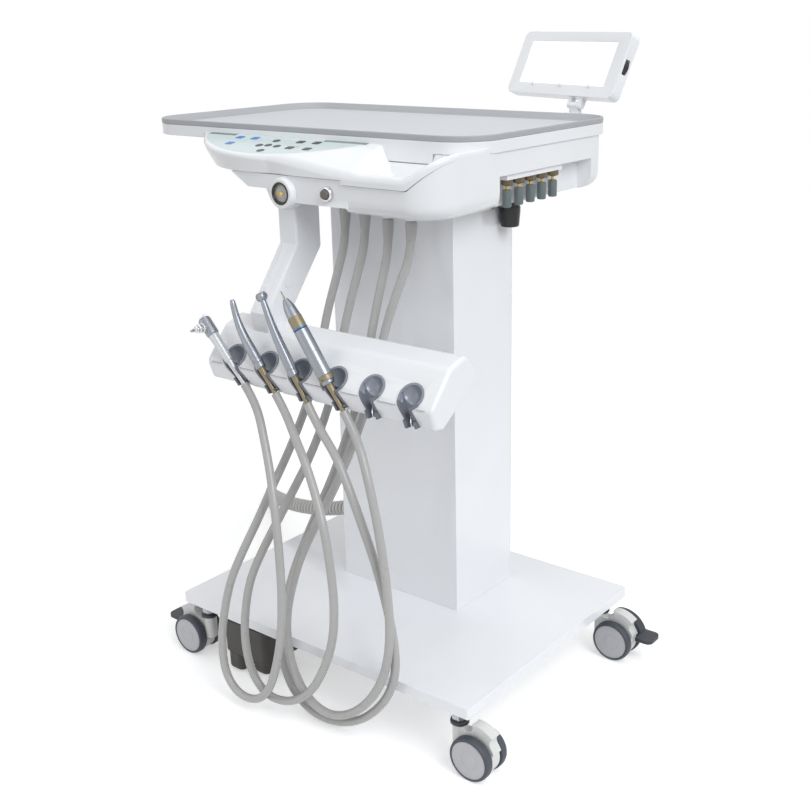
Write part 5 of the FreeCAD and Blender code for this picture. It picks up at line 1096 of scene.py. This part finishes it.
def studio():
    """A pale floor that keeps a soft shadow, a white surround and soft lamps."""
    floor = bpy.data.materials.new("Studio floor")
    floor.use_nodes = True
    nodes, links = floor.node_tree.nodes, floor.node_tree.links
    shader = nodes["Principled BSDF"]
    place = nodes.new("ShaderNodeTexCoord")
    reach = nodes.new("ShaderNodeVectorMath")
    reach.operation = "LENGTH"
    links.new(place.outputs["Object"], reach.inputs[0])
    far = ranged(nodes, links, reach.outputs["Value"], "From", 0.7, 2.6)
    far.interpolation_type = "SMOOTHSTEP"
    tint = nodes.new("ShaderNodeMix")
    tint.data_type = "RGBA"
    tint.inputs["A"].default_value = (0.86, 0.86, 0.86, 1)
    tint.inputs["B"].default_value = (0, 0, 0, 1)
    links.new(far.outputs["Result"], tint.inputs["Factor"])
    links.new(tint.outputs["Result"], shader.inputs["Base Color"])
    glow = ranged(nodes, links, far.outputs["Result"], "To", 0.42, 1.0)
    shader.inputs["Roughness"].default_value = 0.9
    shader.inputs["Specular IOR Level"].default_value = 0.0
    shader.inputs["Emission Color"].default_value = (1, 1, 1, 1)
    lift = nodes.new("ShaderNodeMath")
    lift.operation = "MULTIPLY"
    links.new(glow.outputs["Result"], lift.inputs[1])
    links.new(mask_of_camera(nodes, links), lift.inputs[0])
    links.new(lift.outputs[0], shader.inputs["Emission Strength"])
    mesh = bpy.data.meshes.new("Floor")
    mesh.from_pydata([(-15, -15, 0), (15, -15, 0), (15, 15, 0), (-15, 15, 0)], [], [(0, 1, 2, 3)])
    mesh.materials.append(floor)
    ground = bpy.data.objects.new("Floor", mesh)
    bpy.context.scene.collection.objects.link(ground)

    world = bpy.data.worlds.new("Surround")
    world.use_nodes = True
    bpy.context.scene.world = world
    nodes, links = world.node_tree.nodes, world.node_tree.links
    strength = ranged(nodes, links, mask_of_camera(nodes, links), "To", 0.57, 1.0)
    nodes["Background"].inputs["Color"].default_value = (1, 1, 1, 1)
    links.new(strength.outputs["Result"], nodes["Background"].inputs["Strength"])

    for name, place, size, power in (("Key", (2.6, -0.9, 2.6), 1.8, 60), ("Top", (-0.3, 0.3, 3.4), 2.4, 16),
                                     ("Fill", (-1.8, -3.0, 1.4), 2.0, 12)):
        lamp = bpy.data.lights.new(name, "AREA")
        lamp.size, lamp.energy = size, power
        lamp.color = (0.93, 0.965, 1.0)
        holder = bpy.data.objects.new(name, lamp)
        aim = Vector((-0.05, 0, 0.45)) - Vector(place)
        holder.matrix_world = Matrix.Translation(place) @ aim.to_track_quat("-Z", "Y").to_matrix().to_4x4()
        bpy.context.scene.collection.objects.link(holder)


studio()
bpy.context.scene.view_settings.view_transform = "Standard"
